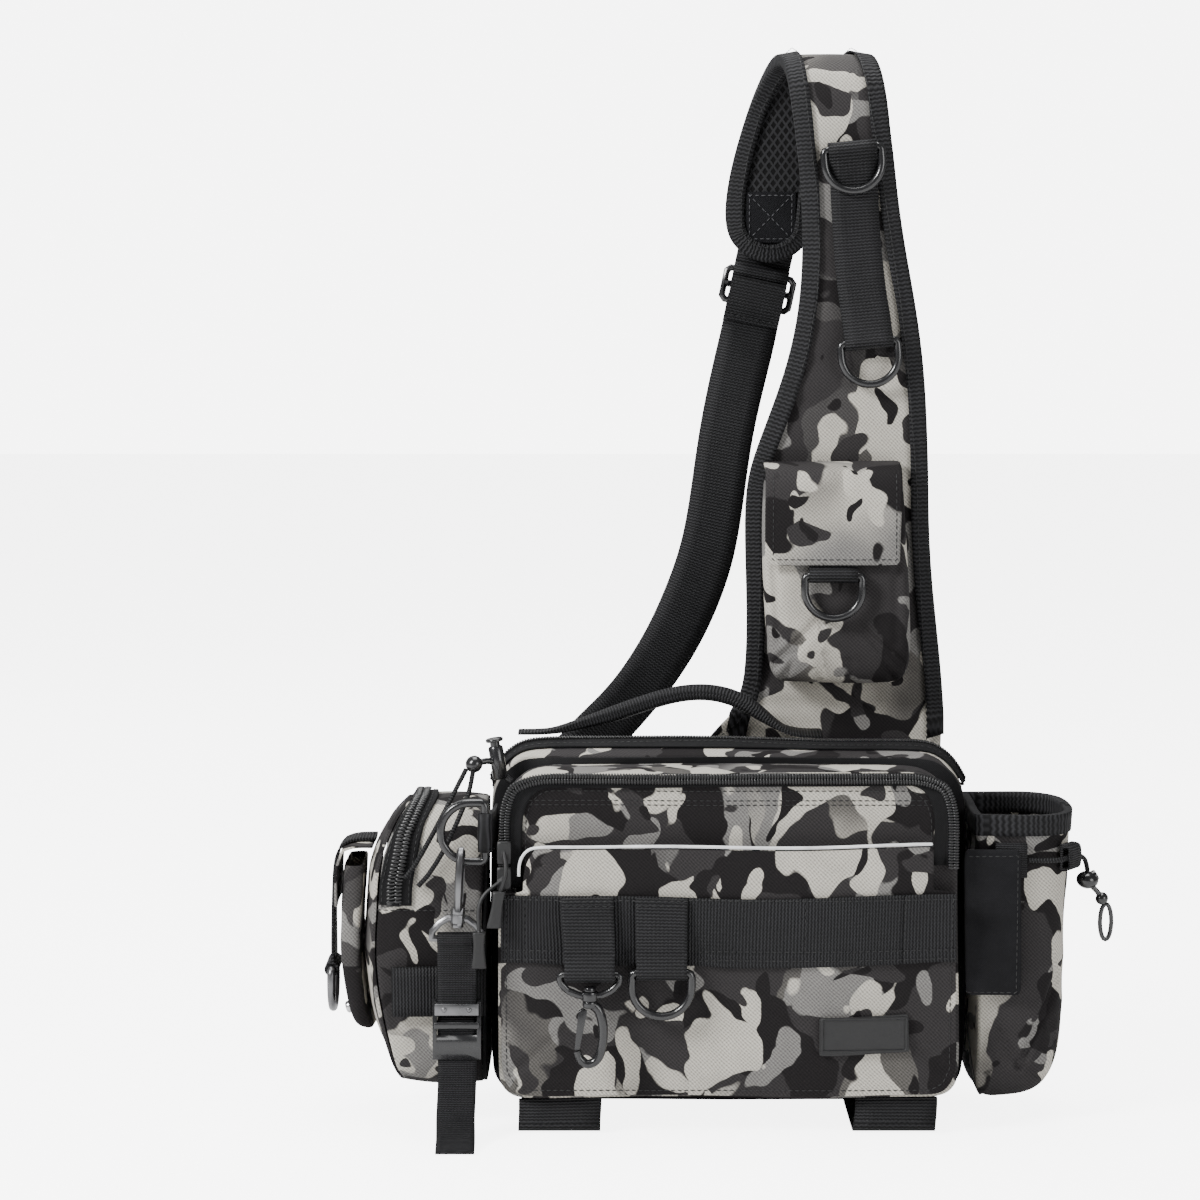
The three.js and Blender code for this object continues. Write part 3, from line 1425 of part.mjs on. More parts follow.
// Main and front compartments
add('back_panel', backPanel(), 'mesh');
add('main_gusset', gusset(main, arcSteps, sideSteps), 'camouflage');
add('main_front_wall', mainFrontWall(), 'darkCloth');
add('main_zip', mainZip(), 'zip');
add('front_gusset', gusset(front, arcSteps, sideSteps), 'camouflage');
add('front_panel', frontPanel(), 'camouflage');
add('front_zip', frontZip(), 'zip');
add('front_patch_pocket', patchPocketPanel(), 'camouflage');
add('reflective_piping', reflectivePiping(), 'reflective');
add('molle_band', molleBand(), 'webbing');
add('hook_loop', sewnLoop(hookLoopX, hookDepth), 'webbing');
add('ring_loop', sewnLoop(ringLoopX, ringDepth), 'webbing');
add('rubber_patch', rubberPatch(), 'rubber');
add('foot_strap_left', footStrap(-89), 'webbing');
add('foot_strap_right', footStrap(86), 'webbing');
add('carry_handle', carryHandle(), 'webbing');

// Hardware on the front
add('front_ring', dRingBody({}), 'plastic').position.set(ringLoopX, ringDepth, loopBarZ);
add('front_hook_eye', hookEye(dRing.halfWidth), 'plastic').position.set(hookLoopX, hookDepth, loopBarZ);
add('front_hook', hookBody(), 'plastic').position.set(hookLoopX, hookDepth, loopBarZ);
add('front_hook_gate', gateBody(), 'plastic').position.set(hookLoopX, hookDepth, loopBarZ);

// Left pouch
add('left_pouch_wall', pouchInnerWall(), 'darkCloth');
add('left_pouch_gusset', pouchGusset(), 'camouflage');
add('left_pouch_panel', pouchOuterPanel(), 'camouflage');
add('left_pouch_zip', pouchZip(), 'zip');
add('side_pocket', openPocket(sidePocketRows, POCKET_CLOTH, 2), 'camouflage');
add('side_pocket_flap', bentStrip(sideFlapLine, [-20, 30], POCKET_CLOTH, facingLeft), 'camouflage');
add('side_flap_strap', sideFlapStrap(), 'webbing');
const leftRing = add('side_ring', dRingBody({}), 'gunmetal');
leftRing.position.set(leftBar.x, leftBar.y, leftBar.z);
leftRing.rotation.z = Math.PI / 2;
add('side_tab', sideTab(), 'webbing');

// Bottle pocket
add('bottle_pocket', bottlePocket(), 'camouflage');
add('bottle_rim', bottleRim(), 'webbing');
add('bottle_tab', bottleTab(), 'neoprene');
add('cord_anchor', cordAnchor(), 'webbing');
add('cord_guide', cordGuide(), 'webbing');
add('drawcord', cord(drawRoute.map((p) => point(...p)), 1.3, 8, 12), 'webbing');
add('drawcord_lock', drawcordLock(), 'plastic');

// Shoulder strap
add('shoulder_pad', shoulderPad(), 'camouflage');
add('shoulder_binding', shoulderBinding(), 'webbing');
const ladderGroup = addGroup(ladder.x, 0, ladder.z, ladder.lean);
add('strap_webbing', strapWebbing(), 'webbing', ladderGroup);
add('strap_ring_upper', dRingBody({}), 'plastic', ladderGroup).position.set(0, ladderBarY, ladder.half);
add('strap_ring_lower', dRingBody({}), 'plastic', ladderGroup).position.set(0, ladderBarY, -ladder.half);
add('strap_pouch', openPocket(strapPouchRows, POCKET_CLOTH, 2), 'camouflage');
add('strap_pouch_flap', bentStrip(strapFlapLine, [22, 94], POCKET_CLOTH, facingFront), 'camouflage');
add('strap_pouch_loop', strapPouchLoop(), 'webbing');
add('strap_pouch_ring', dRingBody({}), 'plastic').position.set(pouchRing.x, pouchRing.y, pouchRing.z);
const glideGroup = addGroup(glide.x, glide.y, glide.z, glide.lean);
add('tri_glide', triGlide(), 'plastic', glideGroup);
add('short_webbing', shortWebbing(), 'webbing', glideGroup);
add('long_webbing', longWebbing(), 'webbing');

// Left corner hardware
add('corner_loop', cornerLoop(), 'webbing');
const cornerRing = add('corner_ring', dRingBody({}), 'plastic');
cornerRing.position.set(cornerBar.x, cornerBar.y, cornerBar.z);
cornerRing.rotation.y = Math.PI / 2;
const sideGroup = addGroup(sideHook.x, sideHook.y, sideHook.z, sideHook.lean);
add('side_hook', sideHookBody(), 'gunmetal', sideGroup);
add('side_webbing', sideWebbing(), 'webbing').position.set(sideHook.x, sideHook.y, sideHook.z);
const buckleGroup = addGroup(buckle.x, 0, 0, 0);
add('cam_buckle', camBuckle(), 'plastic', buckleGroup);
const tailHalf = sideWebWidth / 2;
add('side_tail', bentStrip(tailLine, [-tailHalf, tailHalf], WEB, facingFront), 'webbing', buckleGroup);

// Cords at the top left corner and pulls on the front zip
add('rod_cord_lock', rodCordLock(), 'plastic');
rodStrands.forEach((strand) => {
  add(strand.name, cord(strand.route.map((p) => point(...p)), rodCordRadius, 8, 11), 'webbing');
});
const pulls = [
  {
    name: 'front_pull_upper', tilt: -0.15,
    slider: point(-117.2, -49, 150), knee: point(-116, -57, 141), head: point(-119.5, -57.5, 131),
  },
  {
    name: 'front_pull_lower', tilt: 0,
    slider: point(-117.2, -49, 136.5), knee: point(-129.2, -54.5, 126), head: point(-130, -58, 110),
  },
];
pulls.forEach((pull) => add(pull.name, zipPull(pull), 'rubber'));

export default bag;
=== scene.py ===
"""Fishing sling bag: cloth, webbing, zips and hardware dressed over the part's solids."""

import math

import bmesh
import bpy
import numpy as np
from mathutils import Matrix, Vector
from mathutils.bvhtree import BVHTree


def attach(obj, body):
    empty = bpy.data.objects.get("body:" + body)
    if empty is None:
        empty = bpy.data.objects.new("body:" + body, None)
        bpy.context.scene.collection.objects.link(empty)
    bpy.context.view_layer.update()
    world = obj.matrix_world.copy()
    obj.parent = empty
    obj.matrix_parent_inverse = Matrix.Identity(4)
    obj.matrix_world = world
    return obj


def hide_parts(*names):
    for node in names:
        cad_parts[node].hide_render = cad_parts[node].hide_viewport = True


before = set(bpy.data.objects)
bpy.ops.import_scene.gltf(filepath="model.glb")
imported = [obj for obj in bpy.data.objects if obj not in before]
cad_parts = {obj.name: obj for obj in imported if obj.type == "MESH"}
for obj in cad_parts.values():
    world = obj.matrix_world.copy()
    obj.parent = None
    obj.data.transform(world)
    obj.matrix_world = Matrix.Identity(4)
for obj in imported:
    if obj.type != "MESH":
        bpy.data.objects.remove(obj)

bl_info = {
    "name": "Fishing Sling Bag",
    "version": (1, 0, 0),
    "blender": (4, 5, 0),
    "location": "View3D > Sidebar > Sling Bag",
    "description": "Builds a camouflage fishing sling bag around its solid frame",
    "category": "Object",
}

MM = 0.001

# Underside of the strap's top bend, in millimetres over the floor. The frame's origin is there.
HANG = Vector((54, 88, 560.7))

# The two compartments: rounded outlines in X and Z, in millimetres over the floor
MAIN = {"left": -126, "right": 126, "bottom": 8.5, "top": 193.5, "top_radius": 28}
FRONT = {"left": -120.5, "right": 118, "bottom": 20, "top": 190, "top_radius": 28}
FRONT_FACE_Y = -45.8

# The left pouch: a rounded outline in Y and Z, and its reach to the left at a height
POUCH = {"left": -34, "right": 44, "bottom": 22, "top": 170, "top_radius": 32}
POUCH_WALL_X = -129.6
POUCH_REACH = [(22, -170), (32, -175), (53, -180), (89, -185), (130, -184), (155, -178), (170, -168)]

# Shoulder strap: its planes, its bend, and its two edges at lengths along it
STRAP = {"front": 60, "bend": 28, "foot": 160, "bend_z": 536}
STRAP_ROWS = [
    (34, -10, 118), (43, 1.5, 118), (54, 7.9, 117.3), (66, 11.6, 116.6), (135, 13.1, 112.8),
    (172, 13.9, 111.2), (191, 19.6, 109.6), (219, 29.8, 107.2), (246, 37.7, 104.7),
    (273, 42.4, 101.2), (299, 43.7, 97.1), (328, 42.4, 92.5), (358, 38.6, 87.6),
    (387, 35, 82.3), (398, 33.6, 80.2), (409, 32, 78.2), (420, 30, 76), (431, 27, 73.2),
    (442, 23.3, 69.8), (453, 19, 65.8), (464, 14.5, 61.4), (488, 7.6, 54.6), (510, 4, 50.6),
    (526, 4, 49.6),
]
STRAP_END = {"along": 526, "length": 20, "middle": 26.8, "half": 22.8}

# Long webbing from the adjuster down to the back of the bag
LONG_ROUTE = [
    (16.7, 118.8, 419.5), (14.6, 118, 409.5), (7, 112, 377), (2, 109, 352), (-5.5, 103, 304),
    (-14, 98, 276), (-31, 88, 240), (-52, 76, 211), (-76, 66, 188), (-94, 60, 165),
    (-101, 57.4, 140),
]

# Hardware on the front, in the corner and on the strap
HOOK_BAR = Vector((-73, -64.13, 89))
RING_BAR = Vector((-36, -59.694, 89))
SIDE_BAR = Vector((-210.4, 5, 79))
CORNER_BAR = Vector((-126.9, -50, 160.5))
SIDE_HOOK = Vector((-141.8, -50, 104.5))
POUCH_BAR = Vector((57.3, 25.2, 286))
LADDER = Vector((72.3, 50.3, 462))
LADDER_HALF = 52
LADDER_LEAN = math.radians(-5.4)
GLIDE = Vector((20.5, 118.8, 438))
GLIDE_LEAN = math.radians(12)
SIDE_LEAN = math.radians(3)
BUCKLE = Vector((-141.8, -50, 73))
CORD_LOCK = Vector((189.6, -13.5, 128.6))
ROD_LOCK = Vector((-121.5, -17, 190.5))
ROD_KNOT = Vector((-133.5, -24, 192))

# Half the width of a ring's bar, between the middles of its wire
RING_HALF = 15.4
RING_WIRE = 2.2

# A stitch: across, high and long
STITCH_SIZE = (0.6, 0.5, 2.5)

# Cords, by their centre lines
CORD_RADIUS = 1.3
DRAW_ROUTE = [
    (155.4, -37.3, 143.5), (164, -37.9, 143.5), (171.7, -35.9, 143.5), (178.8, -26.8, 143.5),
    (183, -19, 143), (187.6, -15.5, 140), (189.6, -13.5, 133.6),
]
ROD_ROUTES = {
    "rod_cord_end_left": [
        (-137.7, -25.8, 189.3), (-142, -33.5, 181.5), (-147.5, -40, 171),
        (-155, -42, 157), (-163, -42, 143), (-169, -42, 135),
    ],
    "rod_cord_end_right": [
        (-134, -26.7, 188.3), (-136, -34, 178.5), (-141, -41, 166),
        (-148, -43, 151), (-156, -43, 138), (-162, -43, 131),
    ],
}

# Places where cloth stays as cut, because hardware runs in it: centre and radius
CALM = [
    (HOOK_BAR, 20), (RING_BAR, 20), (SIDE_BAR, 16), (CORNER_BAR, 14), (SIDE_HOOK, 18),
    (POUCH_BAR, 16), (GLIDE, 26), (BUCKLE + Vector((0, 0, -16)), 30),
    (LADDER + Vector((-5, 0, 52)), 16), (LADDER + Vector((5, 0, -52)), 16),
    (Vector((178, -26, 143)), 14), (Vector((-118, -50, 145)), 12),
]


def at(x, y, z):
    """Place in the frame, in metres, of a point in millimetres over the floor."""
    return (Vector((x, y, z)) - HANG) * MM


def look_up(rows, key):
    """Value between the rows of a two-column table, held at its ends."""
    if key <= rows[0][0]:
        return rows[0][1]
    for low, high in zip(rows, rows[1:]):
        if key <= high[0]:
            share = (key - low[0]) / (high[0] - low[0])
            return low[1] + (high[1] - low[1]) * share
    return rows[-1][1]


def smooth(value, low, high):
    """0 to 1 between two values, also over arrays and from a high value to a low one."""
    share = np.clip((value - low) / (high - low), 0.0, 1.0)
    return share * share * (3 - 2 * share)


class ClothSettings(bpy.types.PropertyGroup):
    """Sizes of the cloth's weave, folds and stitches"""

    fold_depth: bpy.props.FloatProperty(
        name="Fold depth", description="How far the cloth waves in and out",
        default=1.0 * MM, unit="LENGTH", subtype="DISTANCE", precision=5,
    )
    weave_pitch: bpy.props.FloatProperty(
        name="Weave pitch", description="Distance between two threads of the printed cloth",
        default=1.5 * MM, unit="LENGTH", subtype="DISTANCE", precision=5,
    )
    rib_pitch: bpy.props.FloatProperty(
        name="Rib pitch", description="Distance between two ribs of the webbing",
        default=1.7 * MM, unit="LENGTH", subtype="DISTANCE", precision=5,
    )
    stitch_pitch: bpy.props.FloatProperty(
        name="Stitch pitch", description="Distance from stitch to stitch along a seam",
        default=3.4 * MM, unit="LENGTH", subtype="DISTANCE", precision=5,
    )
    coil_pitch: bpy.props.FloatProperty(
        name="Coil pitch", description="Distance between two turns of a zip's coil",
        default=1.5 * MM, unit="LENGTH", subtype="DISTANCE", precision=5,
    )


class ColourSettings(bpy.types.PropertyGroup):
    """Colours of the print, the webbing and the hardware"""

    light: bpy.props.FloatVectorProperty(
        name="Light print", description="Lightest colour of the camouflage",
        default=(0.42, 0.399, 0.353), size=3, subtype="COLOR", min=0, max=1,
    )
    middle: bpy.props.FloatVectorProperty(
        name="Middle print", description="Middle grey of the camouflage",
        default=(0.165, 0.16, 0.153), size=3, subtype="COLOR", min=0, max=1,
    )
    dark: bpy.props.FloatVectorProperty(
        name="Dark print", description="Charcoal of the camouflage",
        default=(0.027, 0.025, 0.0255), size=3, subtype="COLOR", min=0, max=1,
    )
    deep: bpy.props.FloatVectorProperty(
        name="Deep print", description="Brown black of the camouflage",
        default=(0.01, 0.0088, 0.0092), size=3, subtype="COLOR", min=0, max=1,
    )
    webbing: bpy.props.FloatVectorProperty(
        name="Webbing", description="Colour of webbing, binding and tape",
        default=(0.0062, 0.0062, 0.0068), size=3, subtype="COLOR", min=0, max=1,
    )
    thread: bpy.props.FloatVectorProperty(
        name="Thread", description="Colour of the stitches",
        default=(0.009, 0.009, 0.0095), size=3, subtype="COLOR", min=0, max=1,
    )
    plastic: bpy.props.FloatVectorProperty(
        name="Plastic", description="Colour of the moulded hardware",
        default=(0.011, 0.011, 0.012), size=3, subtype="COLOR", min=0, max=1,
    )
    metal: bpy.props.FloatVectorProperty(
        name="Metal", description="Colour of the plated hardware",
        default=(0.17, 0.17, 0.175), size=3, subtype="COLOR", min=0, max=1,
    )


class Web:
    """Adds nodes to one tree and links what they read"""

    def __init__(self, tree):
        self.tree = tree

    def add(self, kind, sockets=None, **settings):
        node = self.tree.nodes.new(kind)
        for key, value in settings.items():
            setattr(node, key, value)
        for key, value in (sockets or {}).items():
            if isinstance(value, bpy.types.NodeSocket):
                self.tree.links.new(value, node.inputs[key])
            else:
                node.inputs[key].default_value = value
        return node

    def maths(self, operation, a, b=0.0, c=0.0):
        return self.add("ShaderNodeMath", {0: a, 1: b, 2: c}, operation=operation).outputs[0]

    def vector(self, operation, a, b=(0.0, 0.0, 0.0)):
        return self.add("ShaderNodeVectorMath", {0: a, 1: b}, operation=operation).outputs[0]

    def mixed(self, share, a, b):
        node = self.add("ShaderNodeMix", {0: share, 6: a, 7: b}, data_type="RGBA")
        return node.outputs[2]

    def between(self, value, low, high, bottom=0.0, top=1.0, kind="LINEAR"):
        sockets = {0: value, 1: low, 2: high, 3: bottom, 4: top}
        return self.add("ShaderNodeMapRange", sockets, interpolation_type=kind).outputs[0]

    def cloud(self, place, scale, detail=1.0, rough=0.45):
        sockets = {"Vector": place, "Scale": scale, "Detail": detail, "Roughness": rough}
        return self.add("ShaderNodeTexNoise", sockets)


def new_group(name, inputs, outputs):
    """Empty shader group with the named inputs and outputs."""
    tree = bpy.data.node_groups.new(name, "ShaderNodeTree")
    for label, kind, default in inputs:
        socket = tree.interface.new_socket(label, in_out="INPUT", socket_type=kind)
        if default is not None:
            socket.default_value = default
    for label, kind in outputs:
        tree.interface.new_socket(label, in_out="OUTPUT", socket_type=kind)
    web = Web(tree)
    return tree, web, web.add("NodeGroupInput").outputs, web.add("NodeGroupOutput").inputs


def camouflage_group():
    """Layered blots of four colours with crisp edges over a soft ground."""
    colour = "NodeSocketColor"
    tree, web, given, out = new_group(
        "CamouflagePrint",
        [("Place", "NodeSocketVector", None), ("Light", colour, None), ("Middle", colour, None),
         ("Dark", colour, None), ("Deep", colour, None)],
        [("Color", colour)],
    )
    warp = web.cloud(given["Place"], 30.0, 2.0).outputs["Color"]
    shift = web.vector("MULTIPLY", web.vector("SUBTRACT", warp, (0.5, 0.5, 0.5)), (0.03, 0.03, 0.024))
    place = web.vector("ADD", given["Place"], shift)
    place = web.vector("MULTIPLY", place, (1.0, 1.0, 0.78))

    def blots(offset, scale, level, stretch):
        moved = web.vector("MULTIPLY", web.vector("ADD", place, offset), stretch)
        value = web.cloud(moved, scale, 0.5, 0.4).outputs[0]
        return web.between(value, level, level + 0.008)

    ground = web.cloud(web.vector("ADD", place, (0.31, 0.12, 0.57)), 14.0, 0.0).outputs[0]
    colour = web.mixed(web.between(ground, 0.43, 0.66, kind="SMOOTHSTEP"), given["Middle"], given["Light"])
    shade = web.cloud(web.vector("ADD", place, (0.9, 0.4, 0.2)), 12.0, 0.0).outputs[0]
    colour = web.mixed(
        web.between(shade, 0.46, 0.64, 0.0, 0.85, kind="SMOOTHSTEP"), colour, given["Dark"]
    )
    layers = [
        ("Middle", (1.3, 0.2, 0.4), 32.0, 0.6, (1.0, 1.0, 1.0)),
        ("Dark", (2.1, 1.2, 0.9), 22.0, 0.485, (1.0, 1.0, 0.9)),
        ("Deep", (0.7, 3.1, 2.6), 27.0, 0.555, (0.9, 0.9, 1.1)),
        ("Middle", (7.4, 0.6, 1.1), 36.0, 0.625, (1.0, 1.0, 1.1)),
        ("Light", (3.7, 2.2, 1.4), 30.0, 0.6, (1.15, 1.15, 0.8)),
        ("Light", (5.2, 0.9, 3.3), 50.0, 0.655, (1.15, 1.15, 0.7)),
        ("Dark", (4.6, 1.9, 0.3), 52.0, 0.655, (0.8, 0.8, 1.2)),
        ("Deep", (6.1, 2.9, 4.4), 66.0, 0.68, (1.0, 1.0, 1.0)),
    ]
    for label, offset, scale, level, stretch in layers:
        colour = web.mixed(blots(offset, scale, level, stretch), colour, given[label])
    web.tree.links.new(colour, out["Color"])
    return tree


def weave_group():
    """Twill of thick threads over the flat layout of each side."""
    tree, web, given, out = new_group(
        "OxfordWeave",
        [("Lay", "NodeSocketVector", None), ("Pitch", "NodeSocketFloat", 1.5 * MM)],
        [("Height", "NodeSocketFloat"), ("Tint", "NodeSocketFloat")],
    )
    drift = web.cloud(given["Lay"], 90.0, 1.0).outputs["Color"]
    lay = web.vector("ADD", given["Lay"], web.vector("MULTIPLY", drift, (0.0022, 0.0022, 0.0)))
    split = web.add("ShaderNodeSeparateXYZ", {0: lay}).outputs
    turn = web.maths("DIVIDE", 2 * math.pi, given["Pitch"])
    rise = web.maths("MULTIPLY", web.maths("ADD", split[0], split[1]), turn)
    fall = web.maths("MULTIPLY", web.maths("SUBTRACT", split[0], split[1]), turn)
    twill = web.maths("SINE", web.maths("MULTIPLY", rise, 0.75))
    cross = web.maths("SINE", web.maths("MULTIPLY", fall, 0.6))
    grain = web.cloud(given["Lay"], 1300.0, 2.0, 0.6).outputs[0]
    weave = web.maths("ADD", web.maths("MULTIPLY", twill, 0.26), web.maths("MULTIPLY", cross, 0.12))
    height = web.maths("ADD", weave, grain)
    web.tree.links.new(height, out["Height"])
    web.tree.links.new(web.between(height, 0.05, 0.95, 0.58, 1.42), out["Tint"])
    return tree


def rib_group():
    """Cross ribs of webbing, with the long threads over them; its tint paints highlight on the rib crests
    and shade between them.
    """
    tree, web, given, out = new_group(
        "WebbingRibsPaintedLight",
        [("Lay", "NodeSocketVector", None), ("Pitch", "NodeSocketFloat", 1.5 * MM)],
        [("Height", "NodeSocketFloat"), ("Tint", "NodeSocketFloat")],
    )
    split = web.add("ShaderNodeSeparateXYZ", {0: given["Lay"]}).outputs
    turn = web.maths("DIVIDE", 2 * math.pi, given["Pitch"])
    along = web.maths("MULTIPLY", split[0], turn)
    across = web.maths("MULTIPLY", split[1], turn)
    wave = web.maths("MULTIPLY", web.maths("SINE", web.maths("MULTIPLY", across, 0.8)), 0.6)
    ribs = web.maths("SINE", web.maths("ADD", along, wave))
    grain = web.cloud(given["Lay"], 1100.0, 2.0).outputs[0]
    height = web.maths("ADD", web.maths("MULTIPLY", ribs, 0.5), web.maths("MULTIPLY", grain, 0.5))
    web.tree.links.new(height, out["Height"])
    # Tint is painted light: rib crests up to 3.3 times as bright are painted highlight, grooves down to 0.4
    # times are painted shade
    web.tree.links.new(web.between(height, -0.15, 0.75, 0.4, 3.3), out["Tint"])
    return tree


def dust_group():
    """Slow change of tone and gloss, as handled goods have."""
    tree, web, given, out = new_group(
        "Handling",
        [("Place", "NodeSocketVector", None), ("Low", "NodeSocketFloat", 0.8),
         ("High", "NodeSocketFloat", 1.2)],
        [("Amount", "NodeSocketFloat")],
    )
    cloud = web.cloud(given["Place"], 42.0, 4.0, 0.6).outputs[0]
    web.tree.links.new(web.between(cloud, 0.3, 0.7, given["Low"], given["High"]), out["Amount"])
    return tree


GROUPS = {}


def group(name):
    """Each shared effect's group, made once."""
    makers = {
        "camouflage": camouflage_group, "weave": weave_group,
        "ribs": rib_group, "handling": dust_group,
    }
    if name not in GROUPS:
        GROUPS[name] = makers[name]()
    return GROUPS[name]


def new_material(name, roughness, **shader):
    """Material with a Principled shader; returns it, its web, its shader and its place."""
    material = bpy.data.materials.new(name)
    material.use_nodes = True
    material.node_tree.nodes.clear()
    web = Web(material.node_tree)
    principled = web.add("ShaderNodeBsdfPrincipled")
    principled.inputs["Roughness"].default_value = roughness
    for key, value in shader.items():
        principled.inputs[key.replace("_", " ").title().replace("Ior", "IOR")].default_value = value
    web.add("ShaderNodeOutputMaterial", {"Surface": principled.outputs[0]})
    place = web.add("ShaderNodeTexCoord").outputs["Object"]
    return material, web, principled, place


def raised(web, principled, height, distance, strength=1.0):
    """Feeds a height to the material's normal, with its reach in metres."""
    sockets = {"Height": height, "Distance": distance, "Strength": strength}
    bump = web.add("ShaderNodeBump", sockets)
    web.tree.links.new(bump.outputs[0], principled.inputs["Normal"])


def tinted(web, colour, tint):
    """A colour times a value that changes over the surface."""
    grey = web.add("ShaderNodeCombineXYZ", {0: tint, 1: tint, 2: tint})
    return web.vector("MULTIPLY", colour, grey.outputs[0])


def handled(web, place, low, high):
    """Value between low and high that varies like a surface that has been handled."""
    node = web.add("ShaderNodeGroup", node_tree=group("handling"))
    web.tree.links.new(place, node.inputs["Place"])
    node.inputs["Low"].default_value = low
    node.inputs["High"].default_value = high
    return node.outputs[0]


def laid_out(web):
    """A piece's own flat layout: along, across."""
    return web.add("ShaderNodeAttribute", attribute_name="Lay").outputs["Vector"]


def rgba(colour):
    """A colour with full alpha."""
    return (*colour, 1.0)


def camouflage_material(name, offset, turn=0.0):
    """Printed cloth; the offset and turn choose the part of the print that was cut."""
    colours = bpy.context.scene.bag_colours
    material, web, principled, place = new_material(name, 0.82, specular_ior_level=0.16)
    cut = web.add("ShaderNodeMapping", {0: place, 1: offset, 2: (0.0, turn, 0.0)})
    print_node = web.add("ShaderNodeGroup", node_tree=group("camouflage"))
    web.tree.links.new(cut.outputs[0], print_node.inputs["Place"])
    for key in ("light", "middle", "dark", "deep"):
        print_node.inputs[key.title()].default_value = rgba(getattr(colours, key))
    weave = web.add("ShaderNodeGroup", node_tree=group("weave"))
    web.tree.links.new(laid_out(web), weave.inputs["Lay"])
    weave.inputs["Pitch"].default_value = bpy.context.scene.bag_cloth.weave_pitch
    tone = web.maths("MULTIPLY", weave.outputs["Tint"], handled(web, place, 0.9, 1.08))
    web.tree.links.new(tinted(web, print_node.outputs[0], tone), principled.inputs["Base Color"])
    web.tree.links.new(handled(web, place, 0.74, 0.9), principled.inputs["Roughness"])
    raised(web, principled, weave.outputs["Height"], 0.16 * MM, 0.8)
    return material


def webbing_material(name, pitch_share=1.0, gloss=0.6, lift=1.0):
    """Ribbed webbing that reads its lengthwise place from the piece's Lay attribute."""
    colours = bpy.context.scene.bag_colours
    material, web, principled, place = new_material(name, gloss, specular_ior_level=0.2)
    ribs = web.add("ShaderNodeGroup", node_tree=group("ribs"))
    web.tree.links.new(laid_out(web), ribs.inputs["Lay"])
    ribs.inputs["Pitch"].default_value = bpy.context.scene.bag_cloth.rib_pitch * pitch_share
    # the ribs' tint brings painted highlight on the rib crests and painted shade between them; the handling
    # varies the tone at random
    tone = web.maths("MULTIPLY", ribs.outputs["Tint"], handled(web, place, 0.8 * lift, 1.35 * lift))
    web.tree.links.new(tinted(web, tuple(colours.webbing), tone), principled.inputs["Base Color"])
    web.tree.links.new(handled(web, place, gloss - 0.08, gloss + 0.12), principled.inputs["Roughness"])
    raised(web, principled, ribs.outputs["Height"], 0.42 * MM)
    return material


def cloth_material(name, colour, roughness=0.85, distance=0.12):
    """Plain woven cloth in one colour."""
    material, web, principled, place = new_material(name, roughness, specular_ior_level=0.14)
    weave = web.add("ShaderNodeGroup", node_tree=group("weave"))
    web.tree.links.new(laid_out(web), weave.inputs["Lay"])
    weave.inputs["Pitch"].default_value = 0.8 * MM
    tone = web.maths("MULTIPLY", weave.outputs["Tint"], handled(web, place, 0.8, 1.3))
    web.tree.links.new(tinted(web, colour, tone), principled.inputs["Base Color"])
    raised(web, principled, weave.outputs["Height"], distance * MM)
    return material


def mesh_material(name):
    """Spacer mesh: a lattice of threads around openings, and the openings are coloured near black as
    painted shade.
    """
    material, web, principled, place = new_material(name, 0.8, specular_ior_level=0.2)
    split = web.add("ShaderNodeSeparateXYZ", {0: laid_out(web)}).outputs
    wide = web.maths("MULTIPLY", split[0], math.pi / (4.6 * MM))
    tall = web.maths("MULTIPLY", split[1], math.pi / (6.4 * MM))
    one = web.maths("ABSOLUTE", web.maths("SINE", web.maths("ADD", wide, tall)))
    two = web.maths("ABSOLUTE", web.maths("SINE", web.maths("SUBTRACT", wide, tall)))
    hole = web.between(web.maths("MINIMUM", one, two), 0.42, 0.66, kind="SMOOTHSTEP")
    # near black in the openings is painted shade inside the holes; the dark grey is the threads' own colour
    colour = web.mixed(hole, (0.02, 0.02, 0.0215, 1.0), (0.0015, 0.0015, 0.0015, 1.0))
    tone = tinted(web, colour, handled(web, place, 0.8, 1.3))
    web.tree.links.new(tone, principled.inputs["Base Color"])
    raised(web, principled, web.maths("SUBTRACT", 1.0, hole), 1.2 * MM)
    return material


def moulded_material(name, colour, roughness, metallic=0.0, grain=0.05, coat=0.0):
    """Plastic, rubber or metal with a fine grain and handling in its gloss."""
    material, web, principled, place = new_material(
        name, roughness, metallic=metallic, coat_weight=coat, coat_roughness=0.15
    )
    web.tree.links.new(
        tinted(web, colour, handled(web, place, 0.75, 1.3)), principled.inputs["Base Color"]
    )
    web.tree.links.new(
        handled(web, place, roughness * 0.75, roughness * 1.3), principled.inputs["Roughness"]
    )
    raised(web, principled, web.cloud(place, 900.0, 3.0, 0.6).outputs[0], grain * MM)
    return material


MATERIALS = {}


